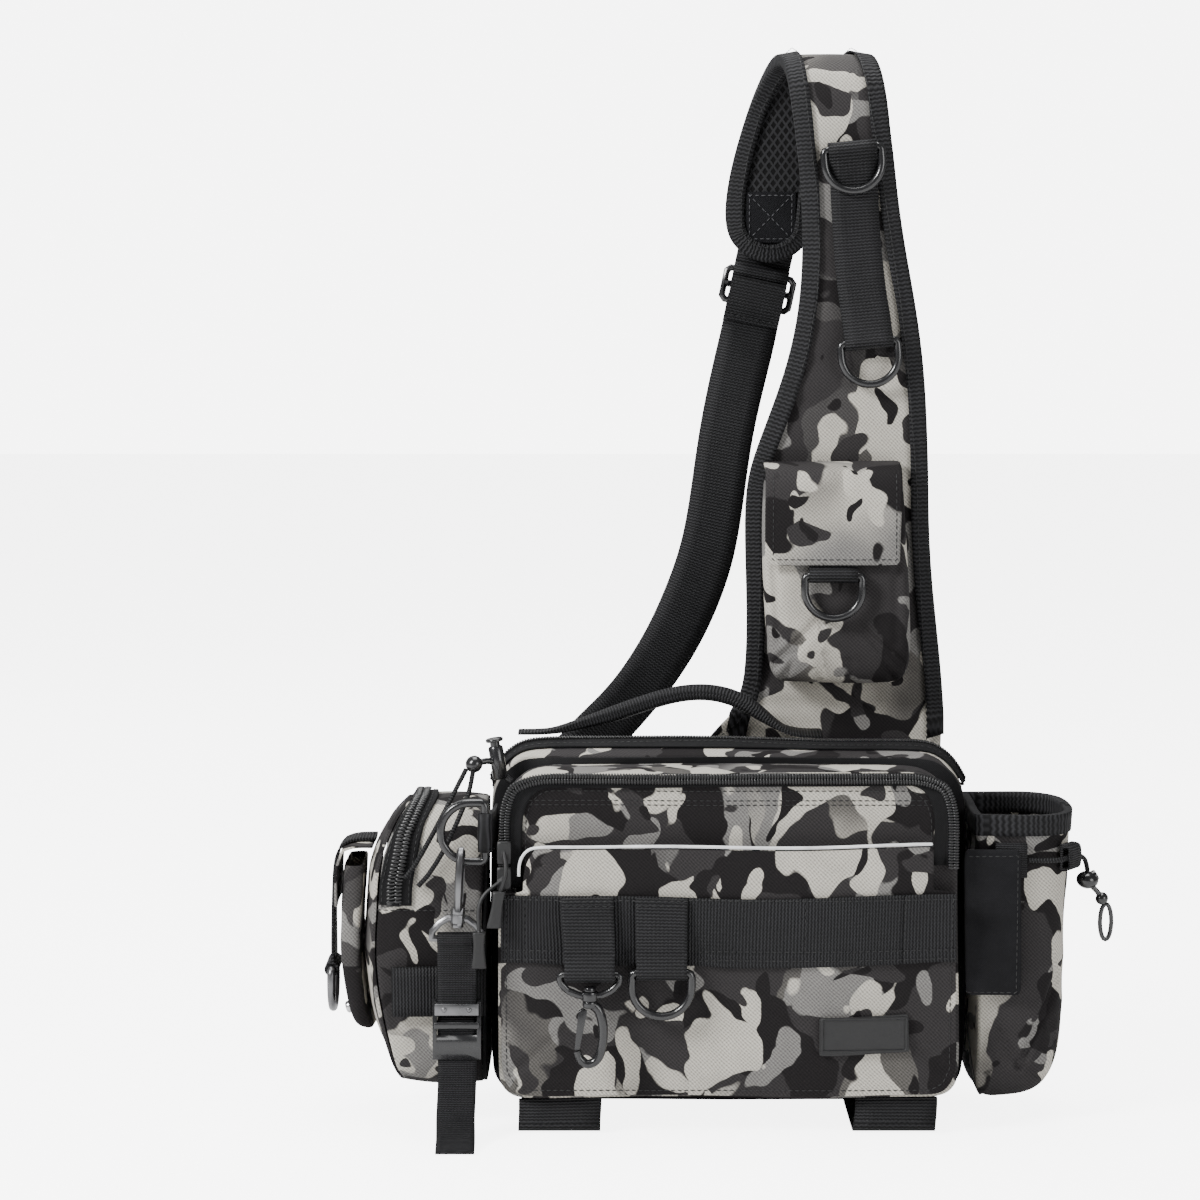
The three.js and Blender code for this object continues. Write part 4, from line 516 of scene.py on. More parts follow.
def make_materials():
    """The finishes of all the pieces."""
    colours = bpy.context.scene.bag_colours
    cuts = {
        "front": ((0.0, 0.0, 0.0), 0.0), "pocket": ((0.41, 0.2, 0.13), 0.0),
        "gusset": ((0.83, 0.5, 0.31), 0.2), "main": ((1.21, 0.7, 0.57), 0.0),
        "pouch": ((1.63, 0.1, 0.91), 0.3), "pouch_side": ((2.07, 0.4, 0.22), 0.0),
        "side": ((2.41, 0.9, 0.66), 0.5), "bottle": ((2.83, 0.3, 0.48), 0.1),
        "strap": ((3.17, 0.6, 0.77), 0.0), "strap_pouch": ((3.59, 0.8, 0.19), 0.0),
        "flap": ((3.97, 0.25, 0.37), 0.0),
    }
    for key, (offset, turn) in cuts.items():
        MATERIALS["camouflage_" + key] = camouflage_material("Camouflage " + key, offset, turn)
    MATERIALS["webbing"] = webbing_material("Ribbed webbing")
    MATERIALS["binding"] = webbing_material("Ribbed binding", 1.35, 0.68, 1.1)
    MATERIALS["fine_webbing"] = webbing_material("Fine webbing", 0.7, 0.6)
    MATERIALS["cord"] = webbing_material("Braided cord", 0.9, 0.5, 0.9)
    MATERIALS["dark_cloth"] = cloth_material("Dark lining", (0.008, 0.008, 0.0085))
    MATERIALS["tape"] = cloth_material("Zip tape", (0.0075, 0.0075, 0.008), 0.75)
    MATERIALS["neoprene"] = cloth_material("Neoprene", (0.0085, 0.0085, 0.0095), 0.9, 0.05)
    MATERIALS["pile"] = cloth_material("Hook pile", (0.011, 0.011, 0.0125), 0.95, 0.5)
    MATERIALS["mesh"] = mesh_material("Spacer mesh")
    MATERIALS["coil"] = moulded_material("Nylon coil", (0.008, 0.008, 0.0085), 0.32, coat=0.15)
    MATERIALS["plastic"] = moulded_material("Moulded plastic", tuple(colours.plastic), 0.24, coat=0.35)
    MATERIALS["gunmetal"] = moulded_material("Plated metal", tuple(colours.metal), 0.3, metallic=0.95)
    MATERIALS["steel"] = moulded_material("Bright steel", (0.55, 0.55, 0.56), 0.25, metallic=1.0)
    MATERIALS["rubber"] = moulded_material("Moulded rubber", (0.009, 0.009, 0.0095), 0.55, grain=0.1)
    MATERIALS["thread"] = moulded_material("Thread", tuple(colours.thread), 0.6, grain=0.1)
    MATERIALS["pale_thread"] = moulded_material("Pale thread", (0.05, 0.05, 0.055), 0.6, grain=0.1)
    MATERIALS["reflective"] = moulded_material("Reflective cloth", (0.72, 0.73, 0.74), 0.35, grain=0.1)


def calm_at(place):
    """1 away from hardware and the floor and 0 in them, for places in millimetres over the floor."""
    share = smooth(place[:, 2], 0.5, 16)
    for centre, radius in CALM:
        gap = np.linalg.norm(place - np.array(centre), axis=1)
        share *= smooth(gap, 0.75 * radius, 1.9 * radius)
    return share


def swell(place, size, seed):
    """Soft uneven waves between about -1 and 1, for places in millimetres."""
    rng = np.random.default_rng(seed)
    total = np.zeros(len(place))
    for _ in range(8):
        way = rng.normal(size=3)
        way *= 2 * math.pi / (size * rng.uniform(1.1, 2.6) * np.linalg.norm(way))
        total += np.sin(place @ way + rng.uniform(0, 2 * math.pi))
    return total / 3.2


def crumple(place, size, seed):
    """Rounded cushions with narrow valleys between them."""
    return 0.8 * (1 - 2.2 * np.abs(swell(place, size, seed))) + 0.3 * swell(place, 0.45 * size, seed + 9)


def along_axes(*parts):
    """Moves from values along X, Y and Z; a plain 0 fills an axis."""
    count = max(np.size(part) for part in parts)
    return np.stack([np.broadcast_to(part, count) for part in parts], axis=1).astype(float)


def mesh_object(name, mesh):
    """Object in the scene for a mesh, at the origin."""
    obj = bpy.data.objects.new(name, mesh)
    bpy.context.scene.collection.objects.link(obj)
    return obj


def applied(obj):
    """The object with its modifiers made part of its mesh."""
    depsgraph = bpy.context.evaluated_depsgraph_get()
    depsgraph.update()
    mesh = bpy.data.meshes.new_from_object(obj.evaluated_get(depsgraph))
    old = obj.data
    obj.modifiers.clear()
    obj.data = mesh
    if old.users == 0:
        bpy.data.meshes.remove(old)
    return obj


def merged_copy(node):
    """Editable copy of a node's triangles with shared corners."""
    bm = bmesh.new()
    bm.from_mesh(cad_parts[node].data)
    bmesh.ops.remove_doubles(bm, verts=bm.verts, dist=0.01 * MM)
    bmesh.ops.dissolve_degenerate(bm, dist=0.005 * MM, edges=bm.edges)
    return bm


def rounded(node, name, levels=3, sharp=40, crease=0.8):
    """A node's form with its facets rounded off and its edges kept."""
    bm = merged_copy(node)
    bmesh.ops.join_triangles(
        bm, faces=bm.faces[:], angle_face_threshold=math.radians(35),
        angle_shape_threshold=math.radians(80),
    )
    layer = bm.edges.layers.float.get("crease_edge") or bm.edges.layers.float.new("crease_edge")
    for edge in bm.edges:
        if len(edge.link_faces) == 2 and edge.calc_face_angle(0) > math.radians(sharp):
            edge[layer] = crease
    mesh = bpy.data.meshes.new(name)
    bm.to_mesh(mesh)
    bm.free()
    obj = mesh_object(name, mesh)
    surface = obj.modifiers.new("Round", "SUBSURF")
    surface.levels = surface.render_levels = levels
    return applied(obj)


def eased(node, name, width=0.5, segments=2, sharp=35):
    """A node's form with its hard edges bevelled, for moulded pieces."""
    bm = merged_copy(node)
    bmesh.ops.dissolve_limit(bm, angle_limit=math.radians(2), verts=bm.verts, edges=bm.edges)
    mesh = bpy.data.meshes.new(name)
    bm.to_mesh(mesh)
    bm.free()
    obj = mesh_object(name, mesh)
    bevel = obj.modifiers.new("Ease", "BEVEL")
    bevel.width = width * MM
    bevel.segments = segments
    bevel.limit_method = "ANGLE"
    bevel.angle_limit = math.radians(sharp)
    return applied(obj)


def waved(obj, fold=None, shape=None):
    """Shapes a cloth, then moves it with the whole bag's sway and with folds of its own."""
    mesh = obj.data
    flat = np.zeros(len(mesh.vertices) * 3)
    mesh.vertices.foreach_get("co", flat)
    place = flat.reshape(-1, 3) / MM + np.array(HANG)
    mesh.vertices.foreach_get("normal", flat)
    normal = flat.reshape(-1, 3)
    if shape:
        place = shape(place, normal)
    move = 1.1 * along_axes(*(swell(place, 60, seed) for seed in (1, 2, 3)))
    if fold:
        move += fold(place)
    depth = bpy.context.scene.bag_cloth.fold_depth / MM
    place = place + move * (calm_at(place) * depth)[:, None]
    mesh.vertices.foreach_set("co", ((place - np.array(HANG)) * MM).ravel())
    mesh.update()
    return obj


def lay_flat(obj):
    """Stores a flat layout of each side of a piece, for the weave."""
    mesh = obj.data
    normal = np.zeros(len(mesh.polygons) * 3)
    mesh.polygons.foreach_get("normal", normal)
    count = np.zeros(len(mesh.polygons), dtype=int)
    mesh.polygons.foreach_get("loop_total", count)
    corner = np.zeros(len(mesh.loops), dtype=int)
    mesh.loops.foreach_get("vertex_index", corner)
    co = np.zeros(len(mesh.vertices) * 3)
    mesh.vertices.foreach_get("co", co)
    side = np.repeat(np.abs(normal.reshape(-1, 3)).argmax(axis=1), count)
    place = co.reshape(-1, 3)[corner]
    lay = np.zeros_like(place)
    lay[:, 0] = np.where(side == 0, place[:, 1], place[:, 0])
    lay[:, 1] = np.where(side == 2, place[:, 1], place[:, 2])
    mesh.attributes.new("Lay", "FLOAT_VECTOR", "CORNER").data.foreach_set("vector", lay.ravel())
    return obj


def lay_along(obj, route):
    """Stores each point's distance along a route and across it, for the ribs."""
    line = np.array([list(at(*p)) for p in route])
    start, way = line[:-1], line[1:] - line[:-1]
    length = np.linalg.norm(way, axis=1)
    reach = np.concatenate([[0.0], np.cumsum(length)])
    count = len(obj.data.vertices)
    co = np.zeros(count * 3)
    obj.data.vertices.foreach_get("co", co)
    co = co.reshape(-1, 3)
    best = np.full(count, np.inf)
    lay = np.zeros((count, 3))
    for i in range(len(start)):
        low = -0.5 if i == 0 else 0.0
        high = 1.5 if i == len(start) - 1 else 1.0
        share = np.clip((co - start[i]) @ way[i] / length[i] ** 2, low, high)
        foot = start[i] + share[:, None] * way[i]
        gap = np.linalg.norm(co - foot, axis=1)
        near = gap < best
        best[near] = gap[near]
        lay[near, 0] = (reach[i] + share * length[i])[near]
        side = np.cross(way[i] / length[i], (0.0, 1.0, 0.0))
        lay[near, 1] = ((co - foot) @ side)[near]
    attribute = obj.data.attributes.new("Lay", "FLOAT_VECTOR", "POINT")
    attribute.data.foreach_set("vector", lay.ravel())
    return obj


def catmull(points, steps):
    """Smooth open line through the given points."""
    points = [Vector(p) for p in points]
    last = len(points) - 1
    line = []
    for i in range(last):
        a, b, c, d = (points[min(max(i + k, 0), last)] for k in (-1, 0, 1, 2))
        for step in range(steps):
            t = step / steps
            line.append(0.5 * (
                2 * b + (c - a) * t + (2 * a - 5 * b + 4 * c - d) * t ** 2
                + (3 * b - a - 3 * c + d) * t ** 3
            ))
    line.append(points[-1])
    return line


def skin(name, sections, closed=False):
    """Closed mesh through sections of equal count, given in metres, capped or joined to a ring."""
    rows, columns = len(sections), len(sections[0])
    faces = []
    for i in range(rows if closed else rows - 1):
        for j in range(columns):
            a, b = i * columns, (i + 1) % rows * columns
            following = (j + 1) % columns
            faces.append((a + j, a + following, b + following, b + j))
    if not closed:
        faces.append(tuple(range(columns)))
        faces.append(tuple((rows - 1) * columns + k for k in reversed(range(columns))))
    mesh = bpy.data.meshes.new(name)
    mesh.from_pydata([p for section in sections for p in section], [], faces)
    bm = bmesh.new()
    bm.from_mesh(mesh)
    bmesh.ops.remove_doubles(bm, verts=bm.verts, dist=0.001 * MM)
    bmesh.ops.recalc_face_normals(bm, faces=bm.faces)
    bm.to_mesh(mesh)
    bm.free()
    return mesh_object(name, mesh)


def wire(name, line, radius, sides=14, closed=False, flat=1.0):
    """Round wire along a line in millimetres over the floor."""
    places = [at(*p) for p in line]
    count = len(places)
    sections = []
    normal = None
    for i, place in enumerate(places):
        before = places[(i - 1) % count] if closed or i else place
        after = places[(i + 1) % count] if closed or i < count - 1 else place
        way = (after - before).normalized()
        if normal is None:
            normal = way.orthogonal().normalized()
        normal = (normal - way * normal.dot(way)).normalized()
        other = way.cross(normal)
        size = (radius(i / max(1, count - 1)) if callable(radius) else radius) * MM
        sections.append([
            place + normal * (size * math.cos(a)) + other * (size * flat * math.sin(a))
            for a in (2 * math.pi * k / sides for k in range(sides))
        ])
    if closed:
        # the last section is turned onto the first, so that the tube closes without a twist
        first, last = sections[0], sections[-1]
        turn = min(range(sides), key=lambda k: (last[k] - first[0]).length)
        if turn:
            for i in range(count):
                share = round(turn * i / count)
                sections[i] = sections[i][share:] + sections[i][:share]
    return skin(name, sections, closed)


def lathe(name, profile, origin, axis, sides=24):
    """Turned form: radii and heights in millimetres along an axis from an origin."""
    way = Vector(axis).normalized()
    normal = way.orthogonal().normalized()
    other = way.cross(normal)
    sections = []
    for radius, height in profile:
        centre = Vector(origin) + way * height
        sections.append([
            at(*(centre + normal * (radius * math.cos(a)) + other * (radius * math.sin(a))))
            for a in (2 * math.pi * k / sides for k in range(sides))
        ])
    return skin(name, sections)


def joined(name, objects):
    """One object of several meshes."""
    bm = bmesh.new()
    for obj in objects:
        bm.from_mesh(obj.data)
    mesh = bpy.data.meshes.new(name)
    bm.to_mesh(mesh)
    bm.free()
    for obj in objects:
        old = obj.data
        bpy.data.objects.remove(obj)
        bpy.data.meshes.remove(old)
    return mesh_object(name, mesh)


def finished(obj, material, nodes=(), body="bag"):
    """Gives a piece its finish and ties it to the frame."""
    obj.data.materials.clear()
    obj.data.materials.append(MATERIALS[material])
    for polygon in obj.data.polygons:
        polygon.use_smooth = True
    obj.data.set_sharp_from_angle(angle=math.radians(52))
    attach(obj, body)
    if nodes:
        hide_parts(*nodes)
    return obj


def repeat_tree():
    """Geometry nodes that set small rounded grains along a line, turned with it."""
    tree = bpy.data.node_groups.new("GrainsAlongLine", "GeometryNodeTree")
    face = tree.interface
    face.new_socket("Geometry", in_out="INPUT", socket_type="NodeSocketGeometry")
    face.new_socket("Pitch", in_out="INPUT", socket_type="NodeSocketFloat").default_value = 3 * MM
    face.new_socket("Size", in_out="INPUT", socket_type="NodeSocketVector")
    face.new_socket("Finish", in_out="INPUT", socket_type="NodeSocketMaterial")
    face.new_socket("Geometry", in_out="OUTPUT", socket_type="NodeSocketGeometry")
    web = Web(tree)
    given = web.add("NodeGroupInput").outputs
    line = web.add("GeometryNodeMeshToCurve", {"Mesh": given["Geometry"]}).outputs[0]
    points = web.add("GeometryNodeCurveToPoints", {"Curve": line, "Length": given["Pitch"]}, mode="LENGTH")
    across = web.add("GeometryNodeInputNamedAttribute", {"Name": "across"}, data_type="FLOAT_VECTOR")
    upright = web.add(
        "FunctionNodeAlignRotationToVector", {"Vector": points.outputs["Tangent"]}, axis="Z"
    )
    turned = web.add(
        "FunctionNodeAlignRotationToVector",
        {"Rotation": upright.outputs[0], "Vector": across.outputs[0]}, axis="X", pivot_axis="Z",
    )
    grain = web.add("GeometryNodeMeshUVSphere", {"Segments": 8, "Rings": 5, "Radius": 0.5})
    grains = web.add("GeometryNodeInstanceOnPoints", {
        "Points": points.outputs["Points"], "Instance": grain.outputs["Mesh"],
        "Rotation": turned.outputs[0], "Scale": given["Size"],
    })
    real = web.add("GeometryNodeRealizeInstances", {"Geometry": grains.outputs[0]})
    done = web.add("GeometryNodeSetMaterial", {"Geometry": real.outputs[0], "Material": given["Finish"]})
    web.add("NodeGroupOutput", {0: done.outputs[0]})
    return tree


def grains_along(name, lines, pitch, size, material):
    """Grains along lines of (place, across) pairs in metres, as one plain mesh."""
    tree = bpy.data.node_groups.get("GrainsAlongLine") or repeat_tree()
    verts, edges, across = [], [], []
    for line in lines:
        first = len(verts)
        for place, side in line:
            verts.append(place)
            across.extend(side)
        edges.extend((first + k, first + k + 1) for k in range(len(line) - 1))
    mesh = bpy.data.meshes.new(name)
    mesh.from_pydata(verts, edges, [])
    mesh.attributes.new("across", "FLOAT_VECTOR", "POINT").data.foreach_set("vector", across)
    obj = mesh_object(name, mesh)
    modifier = obj.modifiers.new("Grains", "NODES")
    modifier.node_group = tree
    values = {"Pitch": pitch, "Size": [s * MM for s in size], "Finish": MATERIALS[material]}
    for item in tree.interface.items_tree:
        if item.item_type == "SOCKET" and item.in_out == "INPUT" and item.name in values:
            modifier[item.identifier] = values[item.name]
    return applied(obj)


def tree_of(*objects):
    """Search tree over the surfaces of dressed pieces."""
    verts, faces = [], []
    for obj in objects:
        first = len(verts)
        verts.extend(v.co.copy() for v in obj.data.vertices)
        faces.extend(tuple(first + i for i in p.vertices) for p in obj.data.polygons)
    return BVHTree.FromPolygons(verts, faces)


def dense(line, step=2.0, closed=False):
    """Points a step apart along a line in millimetres."""
    points = [Vector(p) for p in line]
    if closed:
        points.append(points[0])
    out = [points[0]]
    for a, b in zip(points, points[1:]):
        count = max(1, round((b - a).length / step))
        out.extend(a.lerp(b, k / count) for k in range(1, count + 1))
    return out


def laid(line, way, surface, lift=0.12, reach=30):
    """A line dropped onto a surface along a way; gives (place, across) pairs."""
    points = []
    for i, point in enumerate(line):
        push = Vector(way[i]) if isinstance(way, list) else Vector(way)
        start = at(*(point - push * reach))
        hit = surface.ray_cast(start, push, 2 * reach * MM)[0]
        points.append((hit if hit else at(*point)) - push * (lift * MM))
    pairs = []
    for i, place in enumerate(points):
        push = Vector(way[i]) if isinstance(way, list) else Vector(way)
        ahead = points[min(i + 1, len(points) - 1)] - points[max(i - 1, 0)]
        pairs.append((place, ahead.cross(push).normalized()))
    return pairs


def stitches(name, lines, material="thread"):
    """Rows of stitches on a dressed piece, riding with the bag."""
    pitch = bpy.context.scene.bag_cloth.stitch_pitch
    obj = grains_along(name, lines, pitch, STITCH_SIZE, material)
    return finished(obj, material)


def shifted(pairs, distance):
    """Laid places moved along their own side by a distance in millimetres."""
    return [(place + side * (distance * MM), side) for place, side in pairs]


def coil(name, line, reach=1.75, pitch_share=1.0):
    """Two rows of a zip's coil, half a turn apart."""
    pitch = bpy.context.scene.bag_cloth.coil_pitch * pitch_share
    other = [line[0]] + [
        (a[0].lerp(b[0], 0.5), a[1]) for a, b in zip(line, line[1:])
    ] + [line[-1]]
    rows = [shifted(line, 0.75 * reach), shifted(other, -0.75 * reach)]
    obj = grains_along(name, rows, pitch, (1.6 * reach + 0.5, 1.5, 0.95 * pitch / MM), "coil")
    return finished(obj, "coil")


def outline_arch(shape, left_end, right_end, turns=8):
    """Outline from its left side over the top to its right side: (a, b, na, nb)."""
    left, right, top, radius = (shape[k] for k in ("left", "right", "top", "top_radius"))
    arch = [(left, left_end, -1.0, 0.0)] if left_end < top - radius else []
    for centre, start in ((left + radius, 180), (right - radius, 90)):
        for i in range(turns + 1):
            angle = math.radians(start - 90 * i / turns)
            na, nb = math.cos(angle), math.sin(angle)
            arch.append((centre + radius * na, top - radius + radius * nb, na, nb))
    if right_end < top - radius:
        arch.append((right, right_end, 1.0, 0.0))
    rows = [arch[0]]
    for a, b in zip(arch, arch[1:]):
        count = max(1, round(math.hypot(b[0] - a[0], b[1] - a[1]) / 2.0))
        for k in range(1, count + 1):
            rows.append(tuple(a[i] + (b[i] - a[i]) * k / count for i in range(4)))
    return [r for r in rows if r[1] >= (left_end if r[2] < 0 else right_end) or abs(r[2]) < 0.01]


def front_fold(place):
    """Folds of the front: they all lie along Y, so that the layers move together."""
    flat = place * np.array([1.0, 0.0, 1.5])
    return along_axes(0, -0.9 * smooth(place[:, 2], 95, 25) * (crumple(flat, 60, 11) + 0.4), 0)


def strap_fold(place):
    """Fine folds across the strap, strongest over its pouch."""
    ripple = swell(place * np.array([0.12, 0.2, 1.0]), 8, 12)
    return along_axes(0, ripple * (0.2 + 0.5 * smooth(place[:, 2], 440, 385)), 0)


def side_fold(place):
    """Slack of the pouch on the left, in and out."""
    slack = crumple(place, 46, 13)
    return along_axes(-0.7 * slack, -0.5 * slack, 0)


def bottle_fold(place):
    """Slack of the bottle pocket, deeper towards its foot."""
    out = place - np.array([148, 5, 0])
    out[:, 2] = 0
    out /= np.linalg.norm(out, axis=1)[:, None] + 1e-6
    return out * (crumple(place, 38, 14) * (0.5 + 0.9 * smooth(place[:, 2], 110, 30)))[:, None]


def lifted(place, _normal=None):
    """Raises the front panel's top edge, so that the tape under its coil is narrow there."""
    inner, outer, rise = 177, 190, 6
    height = place[:, 2]
    above = inner + rise + (height - inner) * (outer - inner - rise) / (outer - inner)
    below = height + rise * smooth(height, 156, inner)
    return np.column_stack([place[:, :2], np.where(height > inner, above, below)])


def rolled(place, normal):
    """Fills out the handle's grip, where its webbing is folded and sewn round."""
    share = smooth(place[:, 0], -84, -55) * smooth(place[:, 0], 32, 8)
    return place + normal * (1.3 * share)[:, None]


def thinned(place, normal):
    """Piping between its two seams."""
    return place - normal * 0.4


def lengthened(place, normal):
    """Carries the strap's binding down behind the bag."""
    return place - along_axes(0, 0, 15.5 * smooth(place[:, 2], 207, 199))


def creased(axis, lines):
    """Presses creases into the side that faces against an axis: start, end, depth, width."""
    flat = [i for i in range(3) if i != axis]

    def pressed(place, normal):
        here = place[:, flat]
        push = np.zeros(len(place))
        for start, end, depth, width in lines:
            first = np.array(start, dtype=float)[flat]
            way = np.array(end, dtype=float)[flat] - first
            share = np.clip((here - first) @ way / (way @ way), 0, 1)
            gap = (np.linalg.norm(here - first - share[:, None] * way, axis=1) / width) ** 2
            push += depth * (1 - 0.8 * gap) * np.exp(-np.minimum(gap, 40))
        push *= smooth(-normal[:, axis], 0.2, 0.6)
        return place - normal * push[:, None]

    return pressed


def lifted_line(points):
    """Points of a line, raised as the front panel's top edge is."""
    return [Vector(p) for p in lifted(np.array([list(p) for p in points]))]


BAND_SEAMS = (-106.3, -58.9, -21.4, 37.9, 89.4)
CREASES = {
    "molle_band": (1, [((x, 0, 92), (x, 0, 129), 0.8, 1.1) for x in BAND_SEAMS]
                   + [((-119, 0, 99.3), (117, 0, 99.3), 0.7, 0.9)]),
    "loop": (1, [((-90, 0, 99.3), (-20, 0, 99.3), 0.6, 0.9)]),
    "strap_pouch": (1, [
        ((24, 0, 236), (52, 0, 262), 2.2, 3.4), ((97, 0, 236), (72, 0, 258), 2.2, 3.4),
        ((30, 0, 228), (40, 0, 250), 1.4, 2.4), ((90, 0, 228), (82, 0, 248), 1.4, 2.4),
        ((50, 0, 226), (53, 0, 243), 1.3, 2.6), ((68, 0, 226), (66, 0, 240), 1.3, 2.6),
        ((28, 0, 250), (27, 0, 290), 1.0, 3.2), ((92, 0, 250), (93, 0, 292), 1.0, 3.2),
    ]),
    "bottle_pocket": (1, [
        ((176, 0, 84), (153, 0, 33), 2.6, 3.0), ((166, 0, 62), (176, 0, 40), 1.8, 3.4),
        ((153, 0, 33), (172, 0, 22), 1.6, 2.8), ((140, 0, 52), (152, 0, 34), 1.5, 3.0),
    ]),
    "front_patch_pocket": (1, [
        ((-113, 0, 33), (-92, 0, 52), 0.8, 3.4), ((111, 0, 33), (96, 0, 48), 0.8, 3.4),
        ((-20, 0, 30), (-14, 0, 66), 0.7, 4.5), ((28, 0, 27), (33, 0, 60), 0.6, 4.0),
    ]),
    "left_pouch_gusset": (1, [
        ((-176, 0, 60), (-160, 0, 44), 1.0, 3.2), ((-150, 0, 96), (-133, 0, 112), 0.9, 3.4),
        ((-166, 0, 104), (-150, 0, 116), 0.7, 3.0),
    ]),
}

STIFF = (
    "front_gusset", "front_zip", "main_gusset", "main_front_wall", "main_zip", "back_panel",
    "left_pouch_wall", "left_pouch_gusset", "left_pouch_zip",
)
SOFT = {
    # piece: node, levels, material, slot, fold
    "front": [
        ("front_gusset_cloth", "front_gusset", 2, "camouflage_gusset", "camouflage", None),
        ("front_panel_cloth", "front_panel", 3, "camouflage_front", "camouflage", front_fold, lifted),
        ("front_zip_tape", "front_zip", 2, "tape", "zip", None, lifted),
        ("patch_pocket_cloth", "front_patch_pocket", 4, "camouflage_pocket", "camouflage", front_fold),
        ("piping", "reflective_piping", 2, "reflective", "reflective", front_fold, thinned),
    ],
    "main": [
        ("back_panel_pad", "back_panel", 3, "mesh", "mesh", None),
        ("main_gusset_cloth", "main_gusset", 2, "camouflage_main", "camouflage", None),
        ("main_front_wall_cloth", "main_front_wall", 2, "dark_cloth", "dark_cloth", None),
        ("main_zip_tape", "main_zip", 2, "tape", "zip", None),
    ],
    "pouch": [
        ("left_pouch_wall_cloth", "left_pouch_wall", 2, "dark_cloth", "dark_cloth", None),
        ("left_pouch_gusset_cloth", "left_pouch_gusset", 3, "camouflage_pouch", "camouflage", side_fold),
        ("left_pouch_panel_cloth", "left_pouch_panel", 3, "camouflage_pouch_side", "camouflage", side_fold),
        ("left_pouch_zip_tape", "left_pouch_zip", 2, "tape", "zip", side_fold),
        ("side_pocket_cloth", "side_pocket", 2, "camouflage_side", "camouflage", side_fold),
        ("side_flap_cloth", "side_pocket_flap", 3, "camouflage_flap", "camouflage", side_fold),
    ],
    "bottle": [
        ("bottle_pocket_cloth", "bottle_pocket", 4, "camouflage_bottle", "camouflage", bottle_fold),
        ("bottle_tab_cloth", "bottle_tab", 4, "neoprene", "neoprene", None),
    ],
    "strap": [
        ("shoulder_pad_cloth", "shoulder_pad", 2, "camouflage_strap", "camouflage", strap_fold),
        ("strap_pouch_cloth", "strap_pouch", 4, "camouflage_strap_pouch", "camouflage", None),
        ("strap_flap_cloth", "strap_pouch_flap", 3, "camouflage_flap", "camouflage", None),
    ],
}


def strap_place(x, along, off):
    """Point on the strap, off its middle plane, in millimetres over the floor."""
    rise = STRAP["bend_z"] - STRAP["foot"]
    bend = STRAP["bend"]
    turn = math.pi * bend
    if along <= rise:
        return Vector((x, STRAP["front"] - off, STRAP["foot"] + along))
    if along >= rise + turn:
        return Vector((x, STRAP["front"] + 2 * bend + off, STRAP["bend_z"] - (along - rise - turn)))
    angle = math.pi - (along - rise) / bend
    y = STRAP["front"] + bend + (bend + off) * math.cos(angle)
    return Vector((x, y, STRAP["bend_z"] + (bend + off) * math.sin(angle)))


def strap_edge(inward=0.0):
    """The strap's edge from its left foot round its end to its right foot: (x, along)."""
    left = [(row[1] + inward, row[0]) for row in STRAP_ROWS]
    right = [(row[2] - inward, row[0]) for row in reversed(STRAP_ROWS)]
    end = []
    half = STRAP_END["half"] - inward
    for degrees in range(15, 180, 15):
        angle = math.radians(degrees)
        end.append((
            STRAP_END["middle"] - half * math.cos(angle),
            STRAP_END["along"] + (STRAP_END["length"] - inward) * math.sin(angle),
        ))
    return left + end + right


def soft_pieces(key):
    """Cloth pieces of one group, each rounded, folded and finished."""
    made = {}
    for name, node, levels, material, slot, fold, *shape in SOFT[key]:
        press = shape[0] if shape else creased(*CREASES[node]) if node in CREASES else None
        crease = 1.0 if node in STIFF else 0.8
        obj = lay_flat(waved(rounded(node, name, levels, 45, crease), fold, press))
        made[name] = finished(obj, material, [node])
    return made


def webbing_piece(name, node, route, material="webbing", levels=2, fold=None, shape=None):
    """Webbing or binding with its ends kept square."""
    obj = rounded(node, name, levels, 60, 1.0)
    lay_along(obj, route)
    waved(obj, fold, shape)
    return finished(obj, material, [node])


def ring_line():
    """Closed line of a D-ring around its bar, in its own X and Z."""
    half, straight, corner = RING_HALF, 7.5, 2.2
    line = [(-half + corner, 0), (-half / 2, 0), (0, 0), (half / 2, 0), (half - corner, 0)]
    line += [(half - 0.65, -0.65), (half, -corner)]
    steps = 18
    for i in range(steps + 1):
        angle = math.radians(-180 * i / steps)
        line.append((half * math.cos(angle), -straight + half * math.sin(angle)))
    line += [(-half, -corner), (-half + 0.65, -0.65)]
    return line


def ring(name, node, bar, material, body, turn=None):
    """D-ring hanging from its bar."""
    matrix = turn or Matrix.Identity(3)
    line = [bar + matrix @ Vector((x, 0, z)) for x, z in ring_line()]
    obj = wire(name, line, RING_WIRE, 14, closed=True)
    return finished(obj, material, [node], body)


def hook_eye_line(half):
    """Corners of the hook's eye around its bar, in its own X and Z."""
    return [
        (-half, 0), (-half / 2, 0), (0, 0), (half / 2, 0), (half, 0), (half, -3.5),
        (half - 3.5, -8), (5, -11), (0, -11), (-5, -11), (-half + 3.5, -8), (-half, -3.5),
    ]


HOOK_LINE = [
    (0, 1), (4.5, 5), (6.6, 12), (6.8, 20), (5.4, 27.5), (2.6, 32), (-1.6, 33.2), (-5, 30.6),
    (-6.4, 26.4),
]


